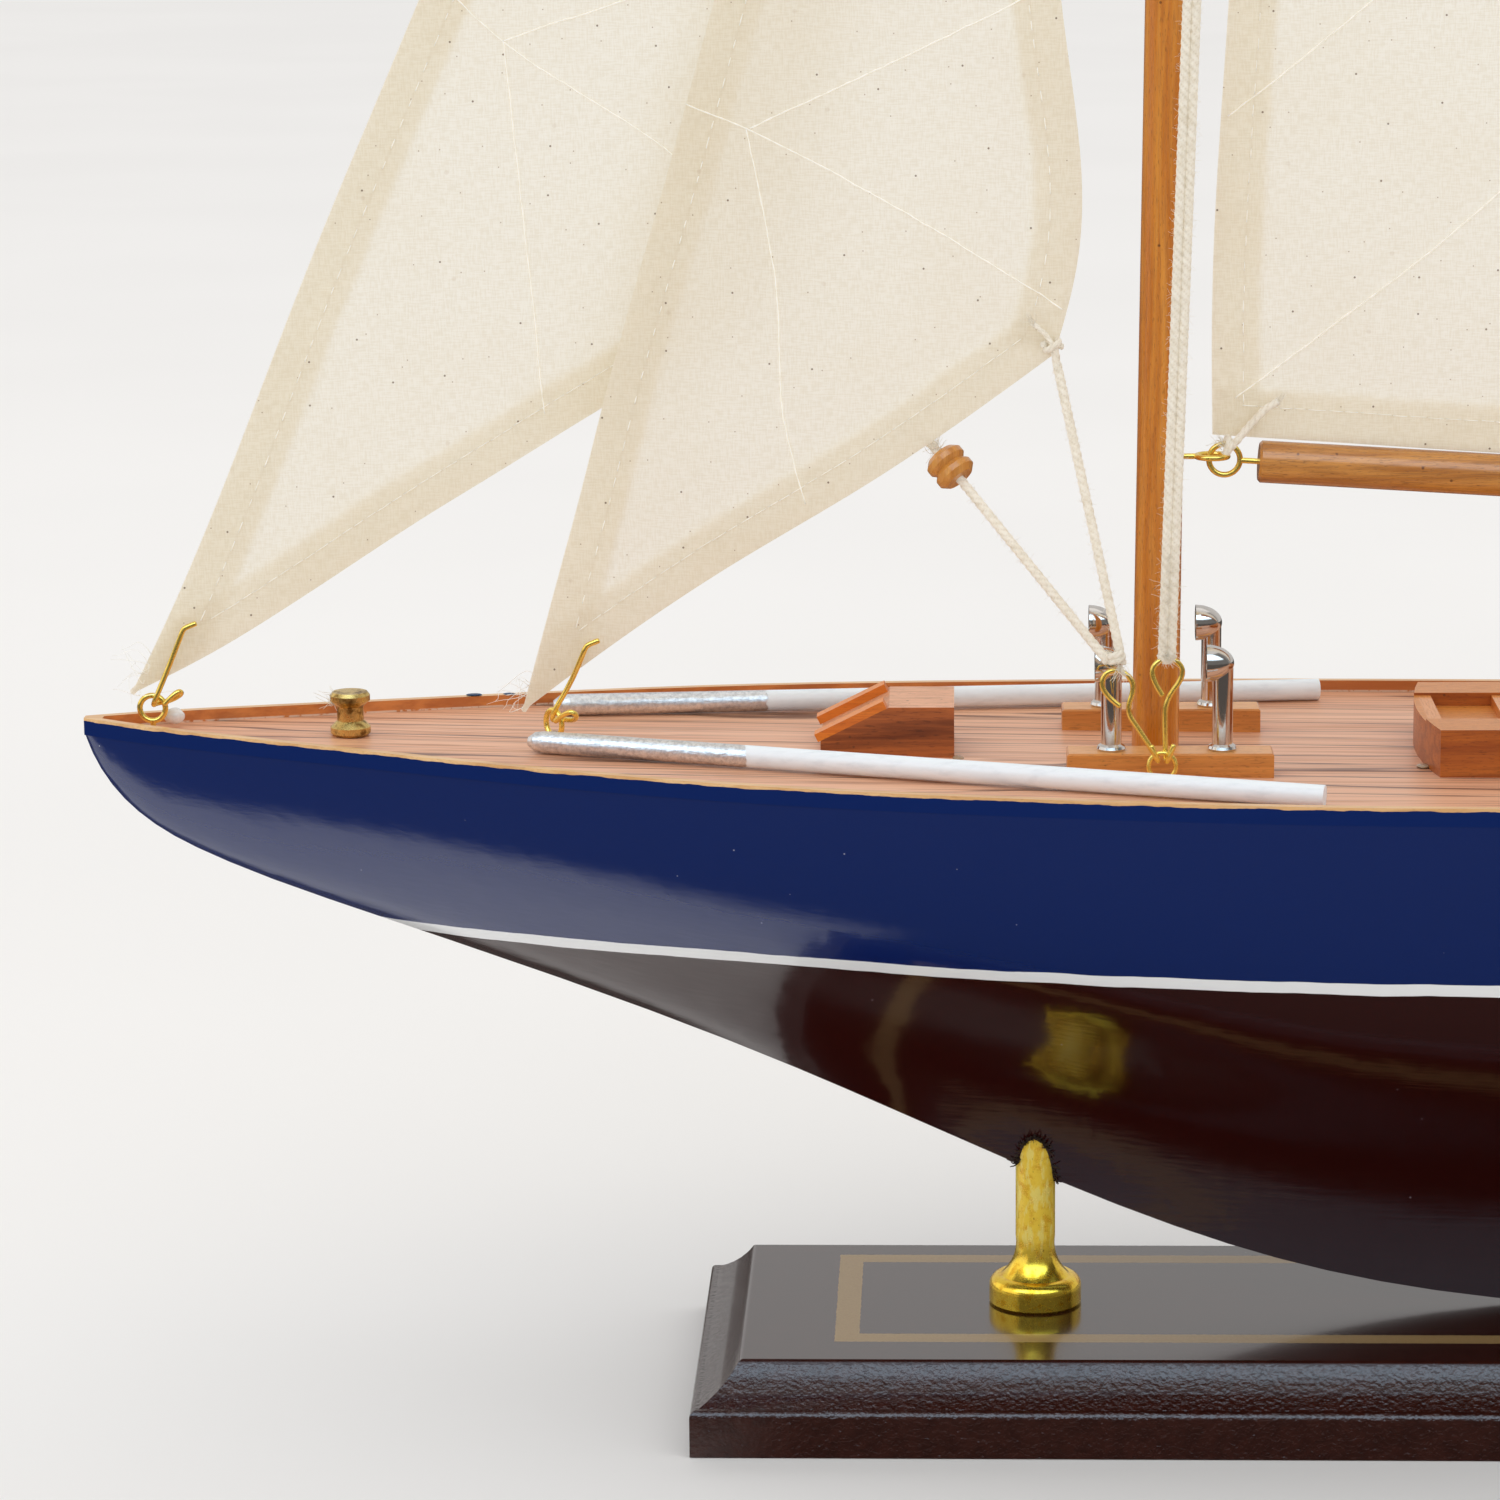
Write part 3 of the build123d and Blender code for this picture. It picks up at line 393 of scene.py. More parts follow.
def rail_finish():
    """Pale varnished rails whose outer faces carry the hull's navy paint up to just under the top edge."""
    s = wood("rail_wood", "eec48e", "d8a46a", 0, 0.36, 0.2, 0.6)
    tone = s.bsdf.inputs["Base Color"].links[0].from_socket
    fore = s.calc("MAXIMUM", s.calc("DIVIDE", s.minus(LOWEST_X, s.x), FORE_RUN), 0.0)
    aft = s.calc("MAXIMUM", s.calc("DIVIDE", s.minus(s.x, LOWEST_X), AFT_RUN), 0.0)
    fore_rise = s.times(s.calc("POWER", fore, 1.7), FORE_RISE)
    sheer = s.plus(fore_rise, s.times(s.times(aft, aft), AFT_RISE))
    over_deck = s.minus(s.z, s.plus(sheer, LOWEST_Z))
    out_x, out_y, _ = s.facing()
    outward = s.minus(s.times(out_y, s.calc("SIGN", s.y)), s.times(out_x, 0.9))
    waver = s.span(s.noise(0.25, 3), 0.2, 0.8, 1.22, 1.5)
    painted = s.times(s.calc("GREATER_THAN", outward, 0.3), s.calc("LESS_THAN", over_deck, waver))
    # the inner faces are a deeper, redder varnish than the tops
    inner = s.calc("LESS_THAN", outward, -0.3)
    grain = s.span(s.noise(0.5, 3, 0.6, (0.08, 1, 1)), 0.35, 0.65)
    varnish = s.mix(grain, "d6823e", "b8642a")
    tone = s.over(tone, varnish, inner, 0.92)
    line = s.times(s.span(over_deck, 0.34, 0.20), s.span(s.noise(1.3, 3), 0.34, 0.48))
    tone = s.over(tone, "e8d6c4", s.times(inner, line), 0.75)
    s.colour(s.mix(painted, tone, NAVY))
    s.rough(s.mix(painted, grey(0.36), grey(0.10)))
    return s


HEM = 7.0  # the width of a folded hem
STITCH = 4.6  # how far the hem's stitches are from the edge


def muslin(name, tone, through, hemmed=True, loose=0.45):
    """Unbleached cotton: fine weave, slubs and seed specks, with light coming through it."""
    s = Shader(name, {"Roughness": 0.93, "Specular IOR Level": 0.1})
    flat = s.joined(s.x, s.z, 0.0)
    warp = s.noise(1.0, 1, 0.6, (4.4, 0.55, 1, flat))
    weft = s.noise(1.0, 1, 0.6, (0.55, 4.4, 1, flat))
    slub = s.span(s.noise(1.0, 2, 0.5, (0.11, 1.9, 1, flat)), 0.62, 0.78)
    slub_up = s.span(s.noise(1.0, 2, 0.5, (1.9, 0.11, 1, flat)), 0.64, 0.80)
    cloud = s.noise(0.05, 3, 0.5, flat)
    thread = s.times(s.plus(warp, weft), 0.5)
    shade = tuple(c * k for c, k in zip(rgb(tone), (0.93, 0.91, 0.87))) + (1,)
    colour = s.mix(s.span(thread, 0.36, 0.62), shade, tone)
    colour = s.over(colour, "d6c6a6", s.calc("MAXIMUM", slub, slub_up), 0.07)
    colour = s.mix(s.span(cloud, 0.35, 0.75, 0, 0.10), colour, "e8dabe")
    if hemmed:
        edge = s.new("ShaderNodeAttribute", attribute_name="edge_mm").outputs["Fac"]
        ragged = s.plus(edge, s.span(s.noise(0.12, 2, 0.5, flat), 0.2, 0.8, -0.5, 0.5))
        # painted shade: the cloth turns darker and yellower where the folded hem doubles it
        painted_hem_shade = s.span(ragged, HEM + 0.9, HEM - 0.6)
        colour = s.over(colour, "ead8b4", painted_hem_shade, 0.10)
        # painted shadow along the stitch line, over the crease's relief
        stitch_crease_shade = s.span(s.calc("ABSOLUTE", s.minus(edge, STITCH)), 0.40, 0.0)
        colour = s.over(colour, "c4ae88", stitch_crease_shade, 0.08)
        s.bump(stitch_crease_shade, 0.10, -0.6)
    for size, radius, chance, share, seed in (
        (11.0, 0.20, 0.7, 0.80, "603e22"), (6.0, 0.13, 0.7, 0.65, "926e46"),
        (17.0, 0.45, 0.5, 0.14, "b29266"),
    ):
        colour = s.over(colour, seed, s.specks(size, radius, chance, flat, True), share)
    s.colour(colour)
    s.bump(thread, 0.06, 0.35)
    s.bump(s.calc("MAXIMUM", slub, slub_up), 0.03, 0.3)
    s.see_through(s.mix(1.0, colour, through, "MULTIPLY"), loose)
    return s


def cotton(name, tone, dirt, glow, relief, lift):
    """Soft cotton cord or thread: painted shade darkens the grooves between its strands; it is lit through,
    and it glows faintly with painted light.
    """
    s = Shader(name, {
        "Roughness": 0.95, "Specular IOR Level": 0.1, "Sheen Weight": 0.3, "Sheen Roughness": 0.6,
        # painted light: a faint glow in the cord's own colour, as strong as lift
        "Emission Color": tone, "Emission Strength": lift,
    })
    groove = s.new("ShaderNodeAttribute", attribute_name="groove").outputs["Fac"]
    fluff = s.mix(s.span(s.noise(1.1, 4, 0.7), 0.35, 0.75), tone, dirt)
    # painted shade: darker deep in the grooves between the strands
    colour = s.mix(s.span(groove, 0.06, 0.26, 0.0, 0.30), fluff, "bcac90")
    s.colour(colour)
    s.bump(s.noise(7.0, 3, 0.7), relief, 0.5)
    s.see_through(colour, glow)
    return s


def plain(name, tone, other, rough, scale, relief, values=None):
    """Paint or glue: a slightly uneven colour and surface."""
    s = Shader(name, dict({"IOR": 1.46}, **(values or {})))
    s.colour(s.mix(s.span(s.noise(scale, 4, 0.6), 0.3, 0.75), tone, other))
    s.rough(s.span(s.noise(scale * 2, 2), 0.2, 0.8, rough * 0.8, rough * 1.2))
    s.bump(s.noise(scale, 3, 0.5), relief, 0.6)
    return s


def pole_finish(name, join):
    """White paint, with crumpled silver foil on the fore end up to x = join."""
    s = Shader(name, {"IOR": 1.46, "Roughness": 0.42})
    torn = s.span(s.noise(0.6, 2), 0.2, 0.8, -0.35, 0.35)
    foil = s.span(s.plus(s.x, torn), join + 0.12, join - 0.12)
    crumple = s.noise(2.0, 3, 0.65, (0.55, 1, 1))
    brushed = s.span(s.noise(0.9, 4, 0.6, (0.2, 1, 1)), 0.45, 0.75)
    paint = s.mix(brushed, "f0f8ff", "e4ecf4")
    silver = s.mix(s.span(s.noise(1.4, 4, 0.7), 0.35, 0.7), "f2f2f3", "cecfd2")
    s.colour(s.mix(foil, paint, silver))
    s.link(foil, s.bsdf.inputs["Metallic"])
    s.bump(s.times(crumple, s.plus(foil, 0.12)), 0.12, 0.7)
    return s


looks = {made.name: made.material for made in (
    hull_paint(), stand_lacquer(), deck_veneer(), rail_finish(),
    wood("mast_wood", "de943a", "c06e1e", 2, 0.26, 0.4, 1.0, 0.3),
    wood("boom_wood", "d09046", "a06024", 0, 0.26, 0.6, 1.2, 0.8),
    # the last colour given to the hatch, slides, house, bars and blocks is the painted sheen on their upward
    # faces
    wood("hatch_wood", "ba662e", "682e0e", 0, 0.42, 0.10, 1.0, 0.6, (0, 42, 0), 1.3,
         "f0b48c"),
    wood("slide_wood", "e48226", "d06818", 0, 0.40, 0.15, 0.6, 0, (0, -28, 0), 1.0,
         "f0963e"),
    wood("house_wood", "be6822", "944612", 0, 0.38, 0.2, 1.1, 0.4, (0, 0, 0), 0.8,
         "de8e3a"),
    wood("bar_wood", "d8843a", "bc6226", 1, 0.36, 0.35, 0.8, top="e29448"),
    wood("block_wood", "da9044", "c07430", 0, 0.38, 0.3, 0.9, 0.3, top="ecaa64"),
    wood("bead_wood", "da9a4a", "be7a32", 2, 0.3, 0.5, 0.6),
    metal("brass", "ffdc6e", 0.20, scratch=0.08, metallic=0.85),
    gilding(),
    metal("old_brass", "debe74", 0.30, "806030", 0.6),
    metal("chrome", "ded8d2", 0.09, scratch=0.12),
    metal("steel", "c4c4c6", 0.28),
    # the last number of each is the strength of its painted glow
    cotton("cotton", "faf6ec", "e8e0ce", 0.3, 0.08, 0.10),
    cotton("thread", "fffefb", "f8f6ee", 0.5, 0.01, 0.18),
    muslin("sail", "f8f5ed", "fffdf7"),
    muslin("hem", "fcf8ee", "fffffa", False, 0.60),
    pole_finish("pole_port_paint", -115.2),
    pole_finish("pole_starboard_paint", -113.4),
    plain("glue", "eeeeec", "dededc", 0.22, 1.2, 0.1, {"Coat Weight": 0.4}),
    plain("clear_glue", "d6bea0", "c4a888", 0.12, 1.2, 0.1, {"Transmission Weight": 0.5}),
    plain("debris", "463022", "221610", 0.7, 2.0, 0.2),
    plain("blue_smudge", "2c4a6c", "18305c", 0.3, 2.0, 0.05),
)}
# what each CAD node is made of; the vents are chrome, and the nodes not listed are brass
node_looks = {
    "hull_paint": "hull rudder",
    "stand_lacquer": "stand_base",
    "steel": "stand_screws",
    "post_brass": "post_front post_rear",
    "deck_veneer": "deck",
    "rail_wood": "rail_port rail_starboard",
    "mast_wood": "mast mast_truck",
    "bar_wood": "spreader_port spreader_starboard skylight_bars",
    "boom_wood": "boom",
    "hatch_wood": "companion_hatch",
    "slide_wood": "hatch_slides",
    "house_wood": "deckhouse cockpit_coaming",
    "block_wood": "vent_block_port vent_block_starboard wheel_pedestal",
    "bead_wood": "sheet_bead",
    "pole_port_paint": "pole_port",
    "pole_starboard_paint": "pole_starboard",
    "old_brass": "bow_bollard stern_bollard",
}
look_of = {name: look for look, names in node_looks.items() for name in names.split()}
for name, node in nodes.items():
    look = look_of.get(name, "chrome" if name.startswith("cowl_vent") else "brass")
    node.data.materials.clear()
    node.data.materials.append(looks[look])


# ---- mesh helpers
def piece(name, points, faces, look, body, slot=None):
    """A mesh piece from points in millimetres, on its body."""
    data = bpy.data.meshes.new(name)
    data.from_pydata([tuple(p) for p in np.asarray(points) * MM], [], faces)
    data.update()
    data.polygons.foreach_set("use_smooth", [True] * len(data.polygons))
    obj = bpy.data.objects.new(name, data)
    bpy.context.scene.collection.objects.link(obj)
    data.materials.append(looks[look])
    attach(obj, body)
    return obj


def point_values(obj, name, values):
    """Gives the mesh a number at each point, for its material."""
    layer = obj.data.attributes.new(name, "FLOAT", "POINT")
    layer.data.foreach_set("value", values.astype(np.float32))


def unit(vector):
    return np.asarray(vector, float) / np.linalg.norm(vector)


def distances(line):
    """How far along a line each of its points is."""
    return np.concatenate(([0], np.cumsum(np.linalg.norm(np.diff(line, axis=0), axis=1))))


def even(line, count):
    """The line at count evenly spaced places."""
    at = distances(line)
    wanted = np.linspace(0, at[-1], count)
    return np.stack([np.interp(wanted, at, column) for column in line.T], axis=1)


def resampled(points, step):
    """Points evenly spaced along a line, about step apart."""
    points = np.asarray(points, float)
    return even(points, max(2, int(round(distances(points)[-1] / step)) + 1))


def tube_faces(rings, sides):
    """Faces between closed rings of points."""
    around = [(k, (k + 1) % sides) for k in range(sides)]
    return [
        (i * sides + k, i * sides + n, (i + 1) * sides + n, (i + 1) * sides + k)
        for i in range(rings - 1) for k, n in around
    ]


def grid_faces(rows, columns, pointed=False):
    """Faces of a grid of points. A pointed grid's last row is one place."""
    faces = []
    for j in range(rows - 1):
        for i in range(columns - 1):
            a = j * columns + i
            top = (a + columns,) if pointed and j == rows - 2 else (a + columns + 1, a + columns)
            faces.append((a, a + 1, *top))
    return faces


GROOVE = 0.26  # how deep the grooves between a cord's strands are, as a share of its radius


def swept(points, radius, sides, lobes=0, pitch=1.0):
    """Points and faces of a tube along a line. With lobes, the section is that many strands, twisted."""
    points = np.asarray(points, float)
    count = len(points)
    tangents = np.gradient(points, axis=0)
    tangents /= np.linalg.norm(tangents, axis=1)[:, None]
    side = unit(np.cross(tangents[0], (0.3, 0.9, 0.31)))
    radii = np.broadcast_to(radius, count)
    travelled = distances(points)
    angles = np.linspace(0, 2 * math.pi, sides, endpoint=False)
    rings = []
    for i in range(count):
        side = unit(side - tangents[i] * side.dot(tangents[i]))
        other = np.cross(tangents[i], side)
        reach = np.full(sides, radii[i])
        if lobes:
            phase = angles + 2 * math.pi * travelled[i] / pitch
            bulge = np.abs(np.cos(phase * lobes / 2)) ** 0.8
            reach = radii[i] * (1 - GROOVE + GROOVE * bulge)
        ring = np.outer(np.cos(angles) * reach, side) + np.outer(np.sin(angles) * reach, other)
        rings.append(points[i] + ring)
    ends = [tuple(reversed(range(sides))), tuple((count - 1) * sides + k for k in range(sides))]
    return np.concatenate(rings), tube_faces(count, sides) + ends


def gathered(parts):
    """Several (points, faces) pairs as one."""
    points, faces, base = [], [], 0
    for part_points, part_faces in parts:
        points.append(np.asarray(part_points, float))
        faces.extend(tuple(i + base for i in face) for face in part_faces)
        base += len(part_points)
    return np.concatenate(points), faces


def random_vector():
    return np.array([random.uniform(-1, 1) for _ in range(3)])


def scatter(spread):
    return np.array([random.gauss(0, spread) for _ in range(3)])


def fibre(start, ahead, length, curl, thick):
    """One loose fibre: a thin, curling line."""
    start, ahead = np.asarray(start, float), unit(ahead)
    bend, twist = random_vector(), random_vector()
    line = []
    for t in np.arange(7) / 6:
        line.append(start + ahead * length * t + bend * curl * t * t + twist * curl * 0.5 * math.sin(4.5 * t))
    return swept(line, np.linspace(thick, thick * 0.6, len(line)), 3)


def tuft(name, start, ahead, length, count, spread, body=HULL, thick=0.05):
    """The frayed end of a cord: a bunch of fibres that fan out."""
    parts = []
    for _ in range(count):
        lean = scatter(spread)
        root = np.asarray(start, float) + scatter(0.22)
        parts.append(fibre(root, unit(ahead) + lean, length * random.uniform(0.5, 1.1), length * 0.3, thick))
    return piece(name, *gathered(parts), "cotton", body, "cotton_cord")


HAIRS_PER_MM = 6.0
HAIR = 0.9  # the length of one


def fuzz(name, path, radius, body):
    """Short hairs that stand off a cord."""
    parts = []
    line = resampled(path, 0.2)
    for _ in range(int(len(line) * 0.2 * HAIRS_PER_MM)):
        i = random.randrange(1, len(line) - 1)
        tangent = line[i + 1] - line[i - 1]
        out = unit(np.cross(tangent, random_vector()))
        way = out + unit(tangent) * random.uniform(-1.2, 1.2)
        parts.append(fibre(line[i] + out * radius * 0.8, way, HAIR * random.uniform(0.4, 1.2), 0.3, 0.022))
    return piece(name, *gathered(parts), "cotton", body, "cotton_cord")


# ---- cords
def route(points):
    """The smooth line of a cord through its route's points, as points in millimetres."""
    data = bpy.data.curves.new("route", "CURVE")
    data.dimensions = "3D"
    data.resolution_u = 24
    spline = data.splines.new("NURBS")
    spline.points.add(len(points) - 1)
    for control, point in zip(spline.points, points):
        control.co = (*[c * MM for c in point], 1)
    spline.order_u = 3
    spline.use_endpoint_u = True
    holder = bpy.data.objects.new("route", data)
    bpy.context.scene.collection.objects.link(holder)
    mesh = bpy.data.meshes.new_from_object(holder)
    line = np.array([v.co for v in mesh.vertices], float) / MM
    bpy.data.objects.remove(holder)
    return line


CORD = 1.45
LAY = 3.6  # the length of one full twist of a cord


def twisted(name, line, thick, sides, body):
    """A cord of three twisted strands, with the depth of each point in the grooves between them."""
    points, faces = swept(line, thick / 2, sides, 3, LAY)
    obj = piece(name, points, faces, "cotton", body, "cotton_cord")
    out = np.linalg.norm(points - np.repeat(line, sides, axis=0), axis=1)
    point_values(obj, "groove", 1 - out / (thick / 2))
    return obj


def rope(name, points, replaced):
    """A free cord of three twisted strands that stands for a CAD cord."""
    line = resampled(route(points), 0.3)
    body = body_of[replaced]
    obj = twisted(name, line, CORD, 24, body)
    hairs = fuzz(name + "_fuzz", line, CORD / 2, body)
    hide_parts(replaced)


for name, shift in (("shroud_fore", -0.62), ("shroud_aft", 0.62)):
    rope(
        name + "_cord",
        [
            (-54.3 + shift, -22.7, 117.35), (-54.05 + shift, -23.0, 126.3), (-48.55 + shift, -29.69, 321.0),
            (-48.3 + shift, -30.0, 330.0), (-48.39 + shift, -28.99, 338.9), (-50.7 + shift, -4.1, 559.1),
            (-50.8 + shift, -3.1, 568.0),
        ],
        name,
    )
rope(
    "jib_sheet_cord",
    [
        (-108.17, 7.35, 165.47), (-93.27, -2.09, 150.59), (-87.46, -5.76, 144.79), (-82.06, -9.37, 138.55),
        (-62.7, -22.3, 116.2),
    ],
    "jib_sheet",
)
rope(
    "staysail_sheet_cord",
    [(-69.87, -9.47, 157.51), (-65.4, -15.85, 137.2), (-60.9, -22.2, 117.0)],
    "staysail_sheet",
)


def ring_path(center, across, up, radius, start, end, rise=0.0, steps=28):
    """Points round part of a circle, from start to end in degrees, moving along the axis by rise a turn."""
    across, up = np.asarray(across, float), np.asarray(up, float)
    axis = np.cross(across, up)
    line = []
    for i in range(steps + 1):
        a = math.radians(start + (end - start) * i / steps)
        out = (across * math.cos(a) + up * math.sin(a)) * radius
        line.append(np.asarray(center) + out + axis * rise * a / (2 * math.pi))
    return line


def loop(name, line, body=HULL, thick=CORD, replaced=None):
    """A short bight, knot or lashing of the same cord."""
    obj = twisted(name, resampled(line, 0.25), thick, 20, body)
    if replaced:
        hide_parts(replaced)


# ---- bent wire hooks
HOOK_WIRE = 0.80


def tack_hook(center, across, curl, front_y):
    """The line of a hook from a deck eye up to a sail's tack, with a curl at its lower end."""
    ring, across, up = np.array(center), np.array(across, float), np.array((0, 0, 1.0))
    near, far, beside = ring - across * 1.15, ring + across * 1.15, np.cross(across, up)
    return [
        near + beside * 1.9 + up * 0.7, near + beside * curl + up * 2.9,
        ring + beside * (curl + 0.8) + up * 2.3, far + beside * (curl - 1.3) + up * 0.9,
        far + beside * 0.25 + up * 0.5, near + beside * 0.2 + up * 0.6,
        ring + (2.75, front_y * 0.5, 6.4), ring + (4.8, front_y, 11.2), ring + (5.2, front_y, 12.2),
        ring + (5.9, front_y, 12.6), ring + (7.2, front_y, 13.1),
    ]


HOOKS = {
    "jib_tack_hook": tack_hook((-204.7, 0, 105.2), (0, 1, 0), 3.9, -1.1),
    "staysail_tack_hook": tack_hook((-144.5, 0, 102.75), (0.77, 0.64, 0), 5.2, -2.7),
    "sheet_hook": [
        (-56.6, -24.7, 104.5), (-55.6, -24.7, 102.1), (-55.45, -22.4, 101.8), (-56.9, -22.4, 104.2),
        (-58.4, -22.4, 106.5), (-60.1, -22.4, 109.0), (-58.7, -22.4, 113.0), (-60.9, -22.4, 115.3),
        (-63.4, -22.4, 114.6), (-63.7, -22.4, 111.7), (-60.9, -22.4, 109.7),
    ],
    "shroud_hook": [
        (-53.3, -24.7, 104.6), (-54.2, -24.7, 102.0), (-54.35, -22.4, 101.7), (-54.5, -22.4, 106.7),
        (-54.5, -22.4, 110.6), (-51.6, -22.4, 114.4), (-53.0, -22.6, 116.8), (-55.8, -22.9, 116.6),
        (-56.8, -23.1, 114.2), (-54.9, -23.2, 111.4),
    ],
}
for name, points in HOOKS.items():
    line = resampled(route(points), 0.15)
    tip = np.ones(len(line)) * HOOK_WIRE / 2
    tip[0] = tip[-1] = HOOK_WIRE * 0.36
    wire = piece(name + "_wire", *swept(line, tip, 14), "brass", body_of[name], "brass")
    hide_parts(name)


# ---- sails
def smooth_line(points):
    """A natural cubic spline through flat points, with a point each millimetre."""
    points = np.asarray(points, float)
    at = distances(points)
    n = len(at)
    gaps = np.diff(at)
    system = np.eye(n)
    right = np.zeros((n, 2))
    for i in range(1, n - 1):
        system[i, i - 1 : i + 2] = gaps[i - 1], 2 * (gaps[i - 1] + gaps[i]), gaps[i]
        right[i] = 6 * ((points[i + 1] - points[i]) / gaps[i] - (points[i] - points[i - 1]) / gaps[i - 1])
    curve = np.linalg.solve(system, right)
    wanted = np.linspace(0, at[-1], max(8, int(at[-1])))
    i = np.clip(np.searchsorted(at, wanted) - 1, 0, n - 2)
    t = (wanted - at[i])[:, None]
    gap = gaps[i][:, None]
    slope = (points[i + 1] - points[i]) / gap - gap * (2 * curve[i] + curve[i + 1]) / 6
    return points[i] + slope * t + curve[i] * t**2 / 2 + (curve[i + 1] - curve[i]) * t**3 / (6 * gap)


class Sail:
    """A three-cornered sail, cut flat, with a folded hem, stitches and sewn panel lines."""

    def __init__(self, name, tack, luff, head, leech, clew, foot, seed, belly):
        self.name = name
        self.body = body_of[name]
        self.origin = np.array(tack, float)
        base, rise = np.array(clew) - self.origin, np.array(head) - self.origin
        self.normal = unit(np.cross(base, rise))
        self.across = unit(base)
        self.up = np.cross(self.normal, self.across)
        self.back = -1.0 if self.normal[1] > 0 else 1.0
        self.waves = np.random.default_rng(seed).uniform(0.6, 1.4, (6, 3))
        self.belly = belly
        self.lines = [
            smooth_line(self.flat([tack, *luff, head])),
            smooth_line(self.flat([head, *leech, clew])),
            smooth_line(self.flat([clew, *foot, tack])),
        ]
        self.outline = np.concatenate([even(line, len(line) // 3)[:-1] for line in self.lines])
        edge = np.concatenate([even(line, len(line) * 5) for line in self.lines])
        self.edge_tree = KDTree(len(edge))
        for i, (a, b) in enumerate(edge):
            self.edge_tree.insert((a, b, 0), i)
        self.edge_tree.balance()
        self.corners = np.array([self.lines[0][0], self.lines[0][-1], self.lines[1][-1]])

    def flat(self, points):
        offsets = np.asarray(points, float) - self.origin
        return np.stack([offsets @ self.across, offsets @ self.up], axis=1)

    def edge_distance(self, points):
        return np.array([self.edge_tree.find((a, b, 0))[2] for a, b in points])

    def place(self, points, behind=0.0, edges=None):
        """Flat points as places in space: a slight belly, soft creases, and puckers at the hem."""
        points = np.asarray(points, float)
        edges = self.edge_distance(points) if edges is None else edges
        corner = np.min([np.linalg.norm(points - c, axis=1) for c in self.corners], axis=0)
        calm = np.clip(corner / 30, 0, 1) ** 1.5
        inner = np.clip(edges / 45, 0, 1)
        swell = self.belly * (inner * (2 - inner))
        a, b = points[:, 0], points[:, 1]
        for k, (u, v, w) in enumerate(self.waves):
            size = 0.55 / (1 + 0.5 * k)
            swell = swell + size * np.sin((a * u * 0.055 + b * 0.022 * v) * (1 + 0.45 * k) + 4.1 * w)
        near_hem = np.exp(-(((edges - STITCH) / 3.2) ** 2))
        pucker = 0.10 * np.sin(a * 1.15 + b * 0.95) * np.sin(a * 0.21 - b * 0.34) * near_hem
        height = swell * calm + pucker - behind
        return self.origin + np.outer(a, self.across) + np.outer(b, self.up) + np.outer(height, self.normal)

    def inside(self, points):
        """Which flat points lie within the sail's outline."""
        x, y = np.asarray(points, float).T
        within = np.zeros(len(x), bool)
        for a, b in zip(self.outline, np.roll(self.outline, -1, axis=0)):
            if a[1] != b[1]:
                crossing = (a[1] > y) != (b[1] > y)
                within ^= crossing & (x < (b[0] - a[0]) * (y - a[1]) / (b[1] - a[1]) + a[0])
        return within

    def inward(self, line):
        """Unit normals of an edge that point into the sail."""
        along = np.gradient(line, axis=0)
        along /= np.linalg.norm(along, axis=1)[:, None]
        normal = np.stack([-along[:, 1], along[:, 0]], axis=1)
        middle = len(line) // 2
        if not self.inside([line[middle] + normal[middle] * 2])[0]:
            normal = -normal
        return normal

    def cloth(self, columns, rows):
        """The single layer of cloth, as a patch between its three edges."""
        luff, leech = even(self.lines[0], rows), even(self.lines[1][::-1], rows)
        foot = even(self.lines[2][::-1], columns)
        head = luff[-1]
        points = []
        for j in range(rows):
            v = j / (rows - 1)
            for i in range(columns):
                u = i / (columns - 1)
                sides = (1 - u) * luff[j] + u * leech[j] + (1 - v) * foot[i] + v * head
                points.append(sides - ((1 - u) * (1 - v) * luff[0] + u * (1 - v) * leech[0] + v * head))
        points = np.array(points)
        edges = self.edge_distance(points)
        faces = grid_faces(rows, columns, True)
        obj = piece(self.name + "_cloth", self.place(points, 0, edges), faces, "sail", self.body, "sailcloth")
        point_values(obj, "edge_mm", edges)
        return obj

    def hem(self):
        """The folded edge behind the cloth, one strip to each edge."""
        parts = []
        for k, line in enumerate(self.lines):
            line = even(line, max(12, int(len(line) / 1.5)))
            normal = self.inward(line)
            columns = 6
            width = np.full(len(line), HEM)
            for _ in range(18):
                outside = ~self.inside(line + normal * (width * 1.04)[:, None])
                width[outside] *= 0.86
            shares = np.linspace(0, 1, columns)
            rows = line[:, None] + normal[:, None] * (0.03 + (width[:, None] - 0.03) * shares)[:, :, None]
            behind = np.tile(0.14 + 0.06 * k + 0.35 * shares**2, len(line))
            placed = self.place(rows.reshape(-1, 2), self.back * behind)
            parts.append((placed, grid_faces(len(line), columns)))
        return piece(self.name + "_hem", *gathered(parts), "hem", self.body, "sailcloth")

    def stitches(self, name, lines, dash, gap, thick):
        """Running stitches of thread along flat lines, seen on both faces."""
        dots = []
        for line in lines:
            runs = distances(line)
            at = 0.6
            while at + dash < runs[-1]:
                length = dash * random.uniform(0.7, 1.2)
                along = np.linspace(at, at + length, 4)
                shift = random.uniform(-0.06, 0.06)
                dots.append(np.stack([np.interp(along, runs, column) for column in line.T], axis=1) + shift)
                at += length + gap * random.uniform(0.6, 1.6)
        dots = np.array(dots)
        dots = dots[self.inside(dots[:, 0]) & self.inside(dots[:, 3])]
        placed = self.place(dots.reshape(-1, 2)).reshape(-1, 4, 3)
        lift = np.array([-0.03, 0.09, 0.09, -0.03])
        parts = []
        for line in placed:
            for side in (1, -1):
                parts.append(swept(line + np.outer(lift * side, self.normal), thick / 2, 5))
        return piece(name, *gathered(parts), "thread", self.body, "sailcloth")

